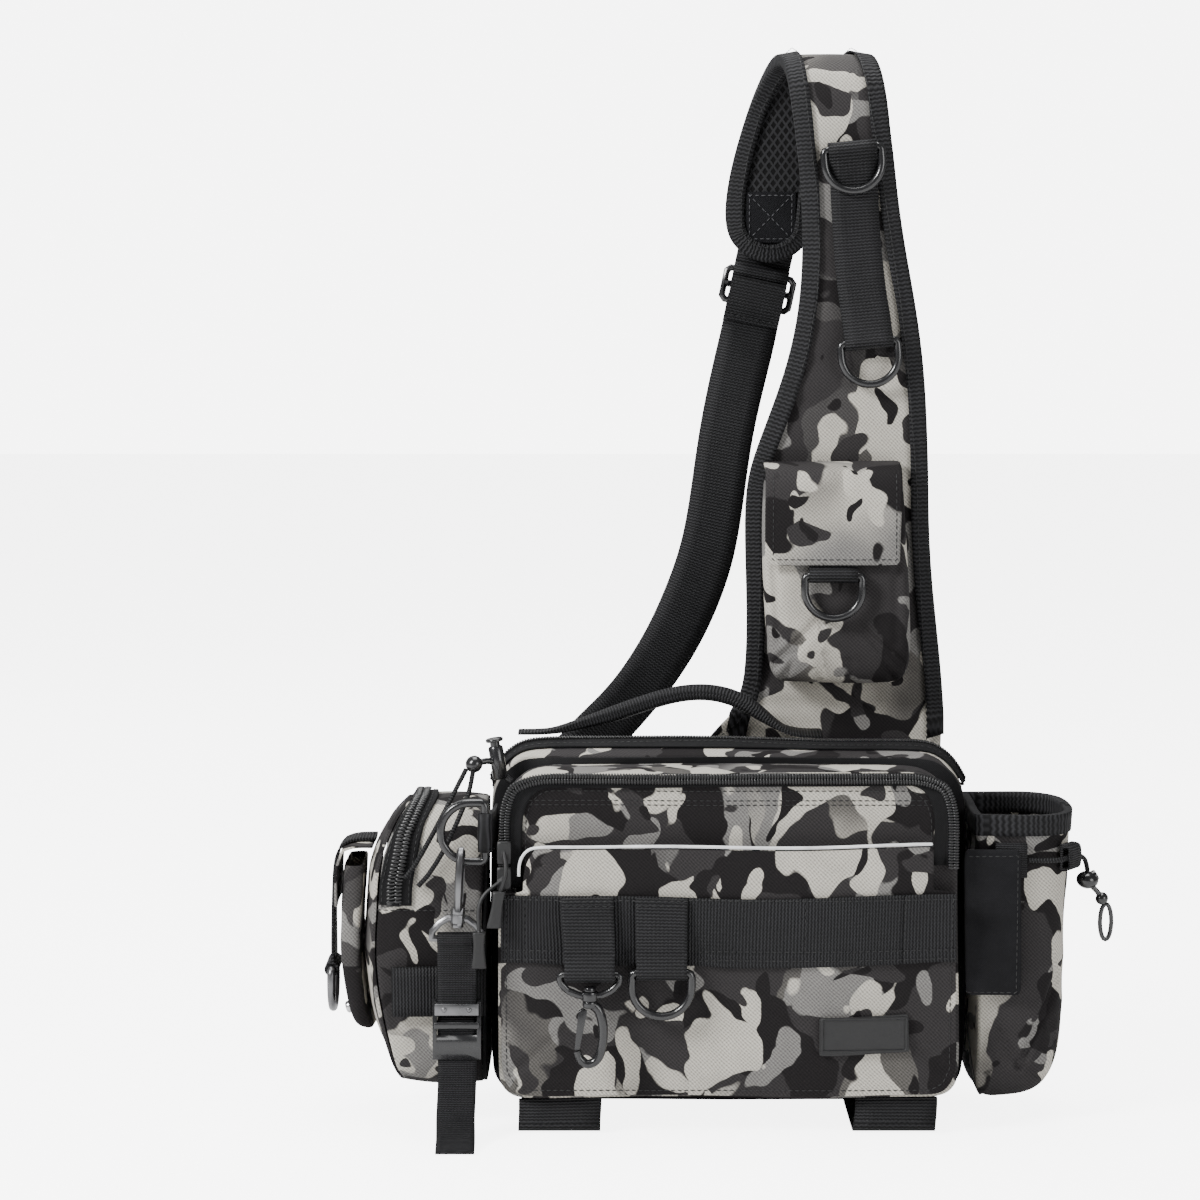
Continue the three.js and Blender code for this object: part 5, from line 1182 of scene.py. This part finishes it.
def hook_eye_pieces(place):
    """Wire eye of the front hook with its corners rounded, and the boss under it."""
    line = []
    corners = hook_eye_line(RING_HALF)
    for i, corner in enumerate(corners):
        before, after = corners[i - 1], corners[(i + 1) % len(corners)]
        here = Vector((corner[0], 0, corner[1]))
        for other in (before, after):
            side = Vector((other[0], 0, other[1]))
            span = (side - here).length
            line.append(here.lerp(side, min(0.3, 1.2 / span)))
    eye = wire("eye", [place @ p for p in line], 1.9, 12, closed=True)
    boss = turned_ring("boss", place, [
        (2.35, -13.2), (4, -13.2), (4.2, -12.6), (4.2, -9.4), (4, -8.8), (2.35, -8.8),
    ])
    return [eye, boss]


def turned_point(place, radius, angle, z):
    """Point around a placed Z axis, in metres."""
    return at(*(place @ Vector((radius * math.cos(angle), radius * math.sin(angle), z))))


def turned_ring(name, place, profile, sides=24):
    """Turned closed ring around a placed Z axis."""
    sections = [
        [turned_point(place, radius, 2 * math.pi * k / sides, z) for radius, z in profile]
        for k in range(sides)
    ]
    return skin(name, sections, closed=True)


def turned_solid(name, place, profile, sides=20):
    """Turned solid around a placed Z axis."""
    return skin(name, [
        [turned_point(place, radius, 2 * math.pi * k / sides, z) for k in range(sides)]
        for radius, z in profile
    ])


def hook_pieces(place):
    """The hook's bend, with its stem through the boss."""
    top = -13.5
    bend = catmull([(x, 0, top - down) for x, down in HOOK_LINE], 6)
    hook = wire("bend", [place @ p for p in bend], lambda t: 2.7 - 0.6 * t, 14)
    stem = turned_solid("stem", place, [
        (0.4, -6.3), (2.6, -6.4), (3, -6.8), (3, -8.3), (2, -8.5), (2, -13.3), (3.4, -13.5),
        (3.7, -14), (3.7, -16.4), (3.3, -17), (1.4, -17.6),
    ])
    return [hook, stem]


def ribbon(name, place, line, half, thick=1.5):
    """Webbing bent over a line in its own Y and Z, spread along its X, with its lay."""
    line = catmull([(0, y, z) for y, z in line], 5)
    sections = []
    for i, here in enumerate(line):
        way = (line[min(len(line) - 1, i + 1)] - line[max(0, i - 1)]).normalized()
        side = Vector((0, -way.z, way.y)) * (thick / 2)
        sections.append([
            at(*(place @ (here + side * s + Vector((half * t, 0, 0)))))
            for s, t in ((1, 1), (1, -1), (-1, -1), (-1, 1))
        ])
    return lay_along(skin(name, sections), [place @ here for here in line])


def block(name, low, high, width=0.4):
    """Box between two corners in millimetres over the floor, with eased edges."""
    mesh = bpy.data.meshes.new(name)
    bm = bmesh.new()
    bmesh.ops.create_cube(bm, size=1)
    middle, span = (Vector(low) + Vector(high)) / 2, Vector(high) - Vector(low)
    for vertex in bm.verts:
        vertex.co = at(*(middle + Vector([vertex.co[i] * span[i] for i in range(3)])))
    bmesh.ops.bevel(
        bm, geom=bm.edges[:], offset=width * MM, segments=2, affect="EDGES", profile=0.5
    )
    bm.to_mesh(mesh)
    bm.free()
    return mesh_object(name, mesh)


def glide_fold():
    """Sewn-back end of the long webbing over the adjuster's middle bar."""
    place = Matrix.Translation(GLIDE) @ Matrix.Rotation(GLIDE_LEAN, 4, "Y")
    line = [
        (3.0, -1.5), (3.0, 1), (2.0, 3.2), (-0.2, 4.2), (-2.6, 4.7), (-4, 3.2), (-4.7, -3),
        (-5, -9), (-4.4, -12.8), (-3, -16), (-2.6, -19),
    ]
    fold = finished(ribbon("long_webbing_fold", place, line, 15.5), "webbing")
    row = [place @ Vector((x, -8, -16.6)) for x in (-14.5, 14.5)]
    stitches("long_webbing_stitches", [laid(dense(row), (0, 1, 0), tree_of(fold))])


def sewn_end(pad):
    """Pile patch with a boxed cross of stitches, on the underside of the strap's round end."""
    surface = tree_of(pad)
    low, high = Vector((13.5, 100, 464)), Vector((41, 100, 492))
    steps = 14
    back = (0, 1, 0)

    def row(z, lift):
        points = [
            Vector((low.x + (high.x - low.x) * k / steps, 100, z)) for k in range(steps + 1)
        ]
        return [pair[0] for pair in laid(points, back, surface, lift, 16)]

    sections = []
    for i in range(steps + 1):
        z = low.z + (high.z - low.z) * i / steps
        sections.append(row(z, 1.1) + row(z, -0.6)[::-1])
    patch = lay_flat(skin("strap_end_patch", sections))
    finished(patch, "pile")
    face = tree_of(patch)
    a, b, c, d = low.x + 2, high.x - 2, low.z + 2, high.z - 2
    lines = [
        [(a, 100, c), (b, 100, c), (b, 100, d), (a, 100, d), (a, 100, c)],
        [(a, 100, c), (b, 100, d)], [(b, 100, c), (a, 100, d)],
    ]
    stitches(
        "strap_end_stitches", [laid(dense(line), back, face, 0.2, 16) for line in lines], "pale_thread"
    )


class BAG_OT_materials(bpy.types.Operator):
    """Make the finishes of cloth, webbing and hardware"""

    bl_idname = "bag.materials"
    bl_label = "Finishes"

    def execute(self, context):
        make_materials()
        return {"FINISHED"}


# Camera in millimetres, fitted to the photo: place, what it looks at, focal length
CAMERA_PLACE = (-67.69, -1636.24, 447.67)
CAMERA_AIM = (-67.7, -45, 280.4)
CAMERA_LENS = 93.6

# Studio in metres: half the floor, how far under the bag it lies, and the lights with
# their places, sizes and powers
FLOOR_HALF = 6.0
FLOOR_DROP = 0.0004
LIGHTS = (
    ("key_light", (-1.5, -1.15, 1.2), 0.6, 70), ("fill_light", (1.4, -1.5, 0.4), 1.0, 16),
    ("top_light", (0.0, 0.1, 1.6), 1.2, 38), ("rim_light", (-0.6, 1.4, 0.9), 1.2, 6),
)
LIGHTS_FROM = Vector((-0.1, 0, -0.3))
LIT_PLACE = Vector((-0.06, -0.05, -0.33))


class BAG_OT_stage(bpy.types.Operator):
    """Set the floor, the studio lights and the camera"""

    bl_idname = "bag.stage"
    bl_label = "Stage"

    def execute(self, context):
        floor_z = -HANG.z * MM - FLOOR_DROP
        mesh = bpy.data.meshes.new("studio_floor")
        corners = [
            (x * FLOOR_HALF, y * FLOOR_HALF, floor_z) for x, y in ((-1, -1), (1, -1), (1, 1), (-1, 1))
        ]
        mesh.from_pydata(corners, [], [(0, 1, 2, 3)])
        floor = mesh_object("studio_floor", mesh)
        material, web, principled, place = new_material("Studio floor", 0.6)
        principled.inputs["Base Color"].default_value = (0.9, 0.9, 0.9, 1.0)
        principled.inputs["Emission Color"].default_value = (1.0, 1.0, 1.0, 1.0)
        seen = web.add("ShaderNodeLightPath").outputs["Is Camera Ray"]
        web.tree.links.new(web.maths("MULTIPLY", seen, 5.5), principled.inputs["Emission Strength"])
        floor.data.materials.append(material)
        camera = bpy.data.objects.new("camera", bpy.data.cameras.new("camera"))
        camera.data.lens = CAMERA_LENS
        camera.data.sensor_width = 36
        camera.location = at(*CAMERA_PLACE)
        aim = at(*CAMERA_AIM) - camera.location
        camera.rotation_euler = aim.to_track_quat("-Z", "Y").to_euler()
        context.scene.collection.objects.link(camera)
        context.scene.camera = camera
        world = bpy.data.worlds.new("studio")
        world.use_nodes = True
        background = world.node_tree.nodes["Background"]
        background.inputs[0].default_value = (1.0, 1.0, 1.0, 1.0)
        sky = Web(world.node_tree)
        seen = sky.add("ShaderNodeLightPath").outputs["Is Camera Ray"]
        sky.tree.links.new(sky.maths("MULTIPLY_ADD", seen, 6.4, 0.2), background.inputs[1])
        context.scene.world = world
        for name, place, size, power in LIGHTS:
            light = bpy.data.lights.new(name, "AREA")
            light.size = size
            light.energy = power
            obj = bpy.data.objects.new(name, light)
            obj.location = Vector(place) + LIGHTS_FROM
            aim = LIT_PLACE - obj.location
            obj.rotation_euler = aim.to_track_quat("-Z", "Y").to_euler()
            context.scene.collection.objects.link(obj)
        return {"FINISHED"}


class BAG_OT_cords(bpy.types.Operator):
    """Make the free cords and what is on them"""

    bl_idname = "bag.cords"
    bl_label = "Cords"

    def execute(self, context):
        lock = cord_lock_pieces()
        self.cord("drawcord", "drawcord_line", DRAW_ROUTE, "fitting", "loose", [lock])
        for node, route in ROD_ROUTES.items():
            self.cord(node, node + "_line", route, "bare", "hanging", [])
        return {"FINISHED"}

    def cord(self, node, name, route, far_end, lay, pieces):
        line = catmull(route, 6)
        obj = wire(name, line, CORD_RADIUS, 12)
        lay_along(obj, line)
        finished(obj, "cord", [node])


def ball_profile(radius, half, steps=8):
    """Profile of a ball that is pressed or drawn along its axis."""
    return [
        (radius * math.sin(math.pi * k / steps), -half * math.cos(math.pi * k / steps))
        for k in range(1, steps)
    ]


def seam_row(corners, surface):
    """Row for stitches: straight from corner to corner, laid on a surface from the front."""
    return laid(dense(corners), (0, 1, 0), surface)


def cord_lock_pieces():
    """Ball cord lock with its button, the knot under it and the cord's moulded end."""
    x, y, z = CORD_LOCK
    ball = lathe("ball", ball_profile(5.9, 4.7, 12), (x, y, z), (0.1, 0, 1))
    button = lathe("button", [(3, 2), (3, 5), (2.6, 5.8), (0.6, 6)], (x, y, z), (5, 0, 3))
    knot_place = Vector((x + 7.8, y, z - 10))
    knot = lathe("knot", ball_profile(3.5, 3.3), knot_place, (1, 0, -1))
    link = wire("link", catmull([(x + 1, y, z - 2), (x + 5, y, z - 6), tuple(knot_place)], 5), 1.4, 10)
    loop = []
    for i in range(20):
        angle = 2 * math.pi * i / 20
        loop.append((x + 10 + 3 * math.sin(angle), y, z - 22.5 + 9.6 * math.cos(angle)))
    end = wire("end", loop, 1.2, 10, closed=True)
    obj = joined("drawcord_end", [ball, button, knot, link, end])
    return finished(obj, "plastic", ["drawcord_lock"])


class BAG_OT_front(bpy.types.Operator):
    """Dress the front compartment, its pocket, band, zip and patch"""

    bl_idname = "bag.front"
    bl_label = "Front compartment"

    def execute(self, context):
        made = soft_pieces("front")
        band = webbing_piece(
            "molle_band_webbing", "molle_band", [(-119, -55, 110), (117, -55, 110)], levels=4,
            fold=front_fold, shape=creased(*CREASES["molle_band"]),
        )
        loops = [
            webbing_piece(
                node + "_webbing", node, [(x, -60, 130), (x, -60, 84)], levels=4,
                fold=front_fold, shape=creased(*CREASES["loop"]),
            )
            for node, x in (("hook_loop", -73), ("ring_loop", -36))
        ]
        surface = tree_of(made["patch_pocket_cloth"], made["front_panel_cloth"], band, *loops)
        forward = (0, 1, 0)
        rows = []
        for z in (176.5, 174.2):
            rows.append(seam_row([(-107, -50, z), (104, -50, z)], surface))
        for z, left, right in (
            (126.5, -117, 115), (99.3, -117, -92), (99.3, -16, 115), (94.5, -117, -92), (94.5, -16, 115),
        ):
            rows.append(seam_row([(left, -56, z), (right, -56, z)], surface))
        for x in (-106.3, -21.4, 37.9, 89.4):
            rows.append(seam_row([(x, -56, 94), (x, -56, 127)], surface))
        for x in (-73, -36):
            rows.append(seam_row([(x - 11.5, -62, 124), (x + 11.5, -62, 124)], surface))
        edge = [(-116, -56, 126), (-116.4, -56, 50), (-116, -56, 34), (-112, -56, 27.5)]
        edge += [(-105, -56, 24.5), (104, -56, 24.5), (110.5, -56, 28), (114, -56, 35), (114.2, -56, 126)]
        rows.append(seam_row(edge, surface))
        stitches("front_stitches", rows)
        arch = outline_arch(FRONT, 131, 142)
        tape = tree_of(made["front_zip_tape"])
        line = lifted_line((a - 3.2 * na, FRONT_FACE_Y - 4, b - 3.2 * nb) for a, b, na, nb in arch)
        coil("front_zip_coil", laid(line, forward, tape, 0.5))
        panel = tree_of(made["front_panel_cloth"])
        inner = lifted_line((a - 14.5 * na, FRONT_FACE_Y - 4, b - 14.5 * nb) for a, b, na, nb in arch)
        stitches("front_zip_stitches", [laid(inner, forward, panel)])
        patch_pieces()
        for node in ("front_pull_upper", "front_pull_lower"):
            pull = rounded(node, node + "_moulding", 2, 50, 0.55)
            finished(pull, "rubber", [node])
        return {"FINISHED"}


def patch_pieces():
    """Bare rubber patch with a raised border."""
    base = rounded("rubber_patch", "patch", 3, 40, 0.95)
    waved(base, front_fold)
    surface = tree_of(base)
    low, high = Vector((45.7, 0, 44.8)), Vector((92.5, 0, 65))
    inset = 1.5
    corners = [(low.x + inset, low.z + inset), (high.x - inset, low.z + inset),
               (high.x - inset, high.z - inset), (low.x + inset, high.z - inset)]
    line = dense([(x, -60, z) for x, z in corners], 1.5, True)[:-1]
    border = [pair[0] / MM + HANG for pair in laid(line, (0, 1, 0), surface, 0.1)]
    frame_bead = wire("bead", border, 0.8, 8, closed=True, flat=0.9)
    obj = joined("rubber_patch_moulding", [base, frame_bead])
    return finished(obj, "rubber", ["rubber_patch"])


class BAG_OT_main(bpy.types.Operator):
    """Dress the main compartment, its back, its zip, the handle and the foot straps"""

    bl_idname = "bag.main_body"
    bl_label = "Main compartment"

    def execute(self, context):
        made = soft_pieces("main")
        route = [(x, 38, z) for x, z in (
            (-112, 199.6), (-90, 201), (-62, 209.5), (-28, 221),
            (-12, 222.5), (3, 219), (28, 203), (52, 199.6),
        )]
        webbing_piece(
            "carry_handle_webbing", "carry_handle", catmull(route, 4), "webbing", 3, shape=rolled
        )
        for node, x in (("foot_strap_left", -89), ("foot_strap_right", 86)):
            route = [(x, -43, 24), (x, -44, 6), (x, -38, 0), (x, 40, 0), (x, 46, 6), (x, 46, 8)]
            webbing_piece(node + "_webbing", node, route)
        arch = outline_arch(MAIN, 174, 170)
        tape = tree_of(made["main_zip_tape"])
        line = [Vector((a, 15, b)) for a, b, na, nb in arch]
        inward = [(-na, 0, -nb) for a, b, na, nb in arch]
        coil("main_zip_coil", laid(line, inward, tape, 0.4))
        sides = [[Vector((a, 15 + off, b)) for a, b, na, nb in arch] for off in (-6, 6)]
        stitches("main_zip_stitches", [laid(side, inward, tape) for side in sides])
        return {"FINISHED"}


class BAG_OT_pouch(bpy.types.Operator):
    """Dress the left pouch, the small pocket on it and their webbing"""

    bl_idname = "bag.left_pouch"
    bl_label = "Left pouch"

    def execute(self, context):
        made = soft_pieces("pouch")
        route = [(x, 5, z) for x, z in (
            (-187, 148.2), (-199, 148.4), (-206, 145.8), (-209.3, 138), (-209.8, 105), (-209.8, 75),
        )]
        webbing_piece("side_flap_webbing", "side_flap_strap", route)
        webbing_piece("side_tab_webbing", "side_tab", [(-127, -38, 74), (-176, -40, 74)])
        arch = outline_arch(POUCH, 119, 119)
        tape = tree_of(made["left_pouch_zip_tape"])
        wall = tree_of(made["left_pouch_gusset_cloth"])
        rows = {}
        for share in (0.83, 0.69, 0.95):
            rows[share] = [
                Vector((POUCH_WALL_X + (look_up(POUCH_REACH, b) - POUCH_WALL_X) * share, a, b))
                for a, b, na, nb in arch
            ]
        inward = [(0, -na, -nb) for a, b, na, nb in arch]
        coil("left_pouch_coil", laid(rows[0.83], inward, tape, 0.4), 2.5, 1.3)
        stitches("left_pouch_stitches", [
            laid(rows[0.69], inward, tape), laid(rows[0.95], inward, tape),
            seam_row([(-183, -36, 116.5), (-131, -36, 116.5)], wall),
        ])
        dome = [(3.3, -0.4), (3.3, 0.8), (2.5, 1.7), (0.5, 2.1)]
        snap = lathe("side_pocket_snap", dome, (-202.4, 9, 55), (-1, 0, -0.3))
        finished(snap, "steel")
        turn = Matrix.Rotation(math.pi / 2, 3, "Z")
        ring("side_ring_wire", "side_ring", SIDE_BAR, "gunmetal", "side_ring", turn)
        return {"FINISHED"}


class BAG_OT_bottle(bpy.types.Operator):
    """Dress the bottle pocket, its rim, tab and cord guide"""

    bl_idname = "bag.bottle_pocket"
    bl_label = "Bottle pocket"

    def execute(self, context):
        made = soft_pieces("bottle")
        route = []
        for degrees in range(0, 360, 12):
            angle = math.radians(degrees)
            route.append((154.5 + 24 * math.cos(angle), 5 + 38 * math.sin(angle), 160))
        webbing_piece("bottle_rim_binding", "bottle_rim", route + [route[0]], "binding")
        for node, x, y, low, high in (
            ("cord_anchor", 147, -38, 134, 152), ("cord_guide", 178, -27, 136, 151),
        ):
            webbing_piece(node + "_webbing", node, [(x, y, low), (x, y, high)], "fine_webbing", 2)
        edge = [(124.5, -44, 74.5), (149, -44, 74.5), (149, -44, 146.5), (124.5, -44, 146.5)]
        stitches("bottle_stitches", [seam_row(edge, tree_of(made["bottle_tab_cloth"]))])
        return {"FINISHED"}


class BAG_OT_strap(bpy.types.Operator):
    """Dress the shoulder strap, its binding, ladder webbing, pouch and adjuster"""

    bl_idname = "bag.shoulder_strap"
    bl_label = "Shoulder strap"

    def execute(self, context):
        made = soft_pieces("strap")
        pad = made["shoulder_pad_cloth"]
        pad.data.materials.append(MATERIALS["mesh"])
        axis = Vector((0, STRAP["front"] + STRAP["bend"], STRAP["bend_z"]))
        for polygon in pad.data.polygons:
            place = polygon.center / MM + HANG
            if place.z > axis.z:
                out = Vector((0, place.y - axis.y, place.z - axis.z))
            else:
                out = Vector((0, place.y - axis.y, 0))
            polygon.material_index = 1 if polygon.normal.dot(out) < 0 else 0
        edge = [strap_place(x, along, 0) for x, along in strap_edge()]
        webbing_piece("shoulder_binding_webbing", "shoulder_binding", edge, "binding", 2, None, lengthened)
        inner = strap_edge(6.9)
        rows = []
        for side in (1, -1):
            line = dense([strap_place(x, along, side * 5.3) for x, along in inner], 2.5)
            rows.append([(at(*p), Vector((1, 0, 0))) for p in line])
        stitches("binding_stitches", rows)
        ladder_route = [(67.4, 54, 514), (77.2, 54, 410)]
        webbing_piece("strap_webbing_ladder", "strap_webbing", ladder_route)
        webbing_piece("strap_pouch_loop_webbing", "strap_pouch_loop", [(57.3, 28, 302), (57.3, 25, 282)])
        webbing_piece("short_webbing_loop", "short_webbing", [(28, 118, 476), (20.5, 118, 438)])
        webbing_piece("long_webbing_run", "long_webbing", catmull(LONG_ROUTE, 4), "webbing", 2)
        glide = eased("tri_glide", "tri_glide_moulding", 0.7, 3)
        finished(glide, "plastic", ["tri_glide"])
        glide_fold()
        sewn_end(pad)
        lean = Matrix.Rotation(LADDER_LEAN, 3, "Y")
        for node, sign in (("strap_ring_upper", 1), ("strap_ring_lower", -1)):
            bar = LADDER + lean @ Vector((0, 0, sign * LADDER_HALF))
            ring(node + "_wire", node, bar, "plastic", node, lean)
        node = "strap_pouch_ring"
        ring(node + "_wire", node, POUCH_BAR, "plastic", node)
        edge = [(25, 20, 339), (25, 20, 294.5), (91, 20, 294.5), (91, 20, 339)]
        stitches("strap_pouch_stitches", [seam_row(edge, tree_of(made["strap_flap_cloth"]))])
        return {"FINISHED"}


class BAG_OT_hardware(bpy.types.Operator):
    """Make the rings, snap hooks, buckle and cord lock of the front and the corner"""

    bl_idname = "bag.hardware"
    bl_label = "Hardware"

    def execute(self, context):
        ring("front_ring_wire", "front_ring", RING_BAR, "plastic", "front_ring")
        turn = Matrix.Rotation(math.pi / 2, 3, "Y")
        ring("corner_ring_wire", "corner_ring", CORNER_BAR, "plastic", "bag", turn)
        place = Matrix.Translation(HOOK_BAR)
        eye = joined("front_hook_eye_body", hook_eye_pieces(place))
        finished(eye, "plastic", ["front_hook_eye"], "front_hook_eye")
        hook = joined("front_hook_body", hook_pieces(place))
        finished(hook, "plastic", ["front_hook"], "front_hook")
        gate = eased("front_hook_gate", "front_hook_gate_body", 0.25)
        finished(gate, "plastic", ["front_hook_gate"], "front_hook_gate")
        side = eased("side_hook", "side_hook_body", 0.5, 2, 30)
        finished(side, "gunmetal", ["side_hook"])
        x, y, z = BUCKLE
        cross_bar = block("bar", (x - 11.8, y - 6, z - 14.6), (x + 11.8, y - 4.2, z - 11), 0.7)
        buckle = joined("cam_buckle_moulding", [eased("cam_buckle", "buckle", 0.5, 2), cross_bar])
        finished(buckle, "plastic", ["cam_buckle"])
        plate = block("plate", (x - 11.4, y - 5.4, z - 7.6), (x + 11.4, y - 4.4, z - 1.4), 0.3)
        dome = [(1.3, 0), (1.3, 0.5), (0.9, 0.9), (0.3, 1)]
        rivets = [
            lathe("rivet", dome, (x + off, y - 5.3, z - 4.5), (0, -1, 0), 12) for off in (-6.5, 6.5)
        ]
        finished(joined("cam_buckle_plate", [plate, *rivets]), "gunmetal")
        webbing_piece("corner_loop_webbing", "corner_loop", [(-124, -24, 160), (-127, -54, 160)])
        run = [(-50, 110), (-50, 66)]
        tail = [(-50, 60), (-51.6, 34), (-54, 22), (-60, 11), (-70, 4), (-84, 1)]
        for name, node, line in (
            ("side_webbing_run", "side_webbing", run), ("side_tail_webbing", "side_tail", tail),
        ):
            webbing_piece(name, node, [(-141.8, y, z) for y, z in line], "fine_webbing", 3)
        tilt = math.radians(9)
        barrel = lathe("barrel", [
            (3.2, -10.5), (3.9, -9.8), (3.9, 6.2), (3.3, 7), (2.6, 7),
            (2.6, 9.4), (4.3, 9.5), (4.6, 10), (4.6, 10.8), (4.1, 11.3),
        ], ROD_LOCK + Vector((0, 0, 3)), (-math.sin(tilt), 0, math.cos(tilt)))
        root_line = [ROD_LOCK + Vector((0, 0, -2)), (-118, -17, 185), (-114.2, -17, 181.8)]
        root = wire("root", catmull(root_line, 4), 1.7, 10)
        link_line = [ROD_LOCK + Vector((0, 0, 1)), (-127, -20, 193), ROD_KNOT]
        link = wire("link", catmull(link_line, 4), 1.7, 10)
        knot = lathe("knot", ball_profile(4.6, 4.4), ROD_KNOT, (1, 1, -1))
        lock = joined("rod_cord_lock_body", [barrel, root, link, knot])
        finished(lock, "plastic", ["rod_cord_lock"])
        return {"FINISHED"}


class BAG_PT_panel(bpy.types.Panel):
    """Settings and makers of the sling bag"""

    bl_label = "Sling Bag"
    bl_idname = "BAG_PT_panel"
    bl_space_type = "VIEW_3D"
    bl_region_type = "UI"
    bl_category = "Sling Bag"

    def draw(self, context):
        layout = self.layout
        for settings in (context.scene.bag_cloth, context.scene.bag_colours):
            column = layout.column(align=True)
            for key in settings.__annotations__:
                column.prop(settings, key)
        for operator in OPERATORS:
            layout.operator(operator.bl_idname)


OPERATORS = (
    BAG_OT_materials, BAG_OT_stage, BAG_OT_cords, BAG_OT_front, BAG_OT_main, BAG_OT_pouch,
    BAG_OT_bottle, BAG_OT_strap, BAG_OT_hardware,
)
CLASSES = (ClothSettings, ColourSettings, *OPERATORS, BAG_PT_panel)


def register():
    for cls in CLASSES:
        bpy.utils.register_class(cls)
    bpy.types.Scene.bag_cloth = bpy.props.PointerProperty(type=ClothSettings)
    bpy.types.Scene.bag_colours = bpy.props.PointerProperty(type=ColourSettings)


def unregister():
    del bpy.types.Scene.bag_colours
    del bpy.types.Scene.bag_cloth
    for cls in reversed(CLASSES):
        bpy.utils.unregister_class(cls)


def main():
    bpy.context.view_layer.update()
    register()
    for operator in OPERATORS:
        group_name, action = operator.bl_idname.split(".")
        getattr(getattr(bpy.ops, group_name), action)()


if __name__ == "__main__":
    main()
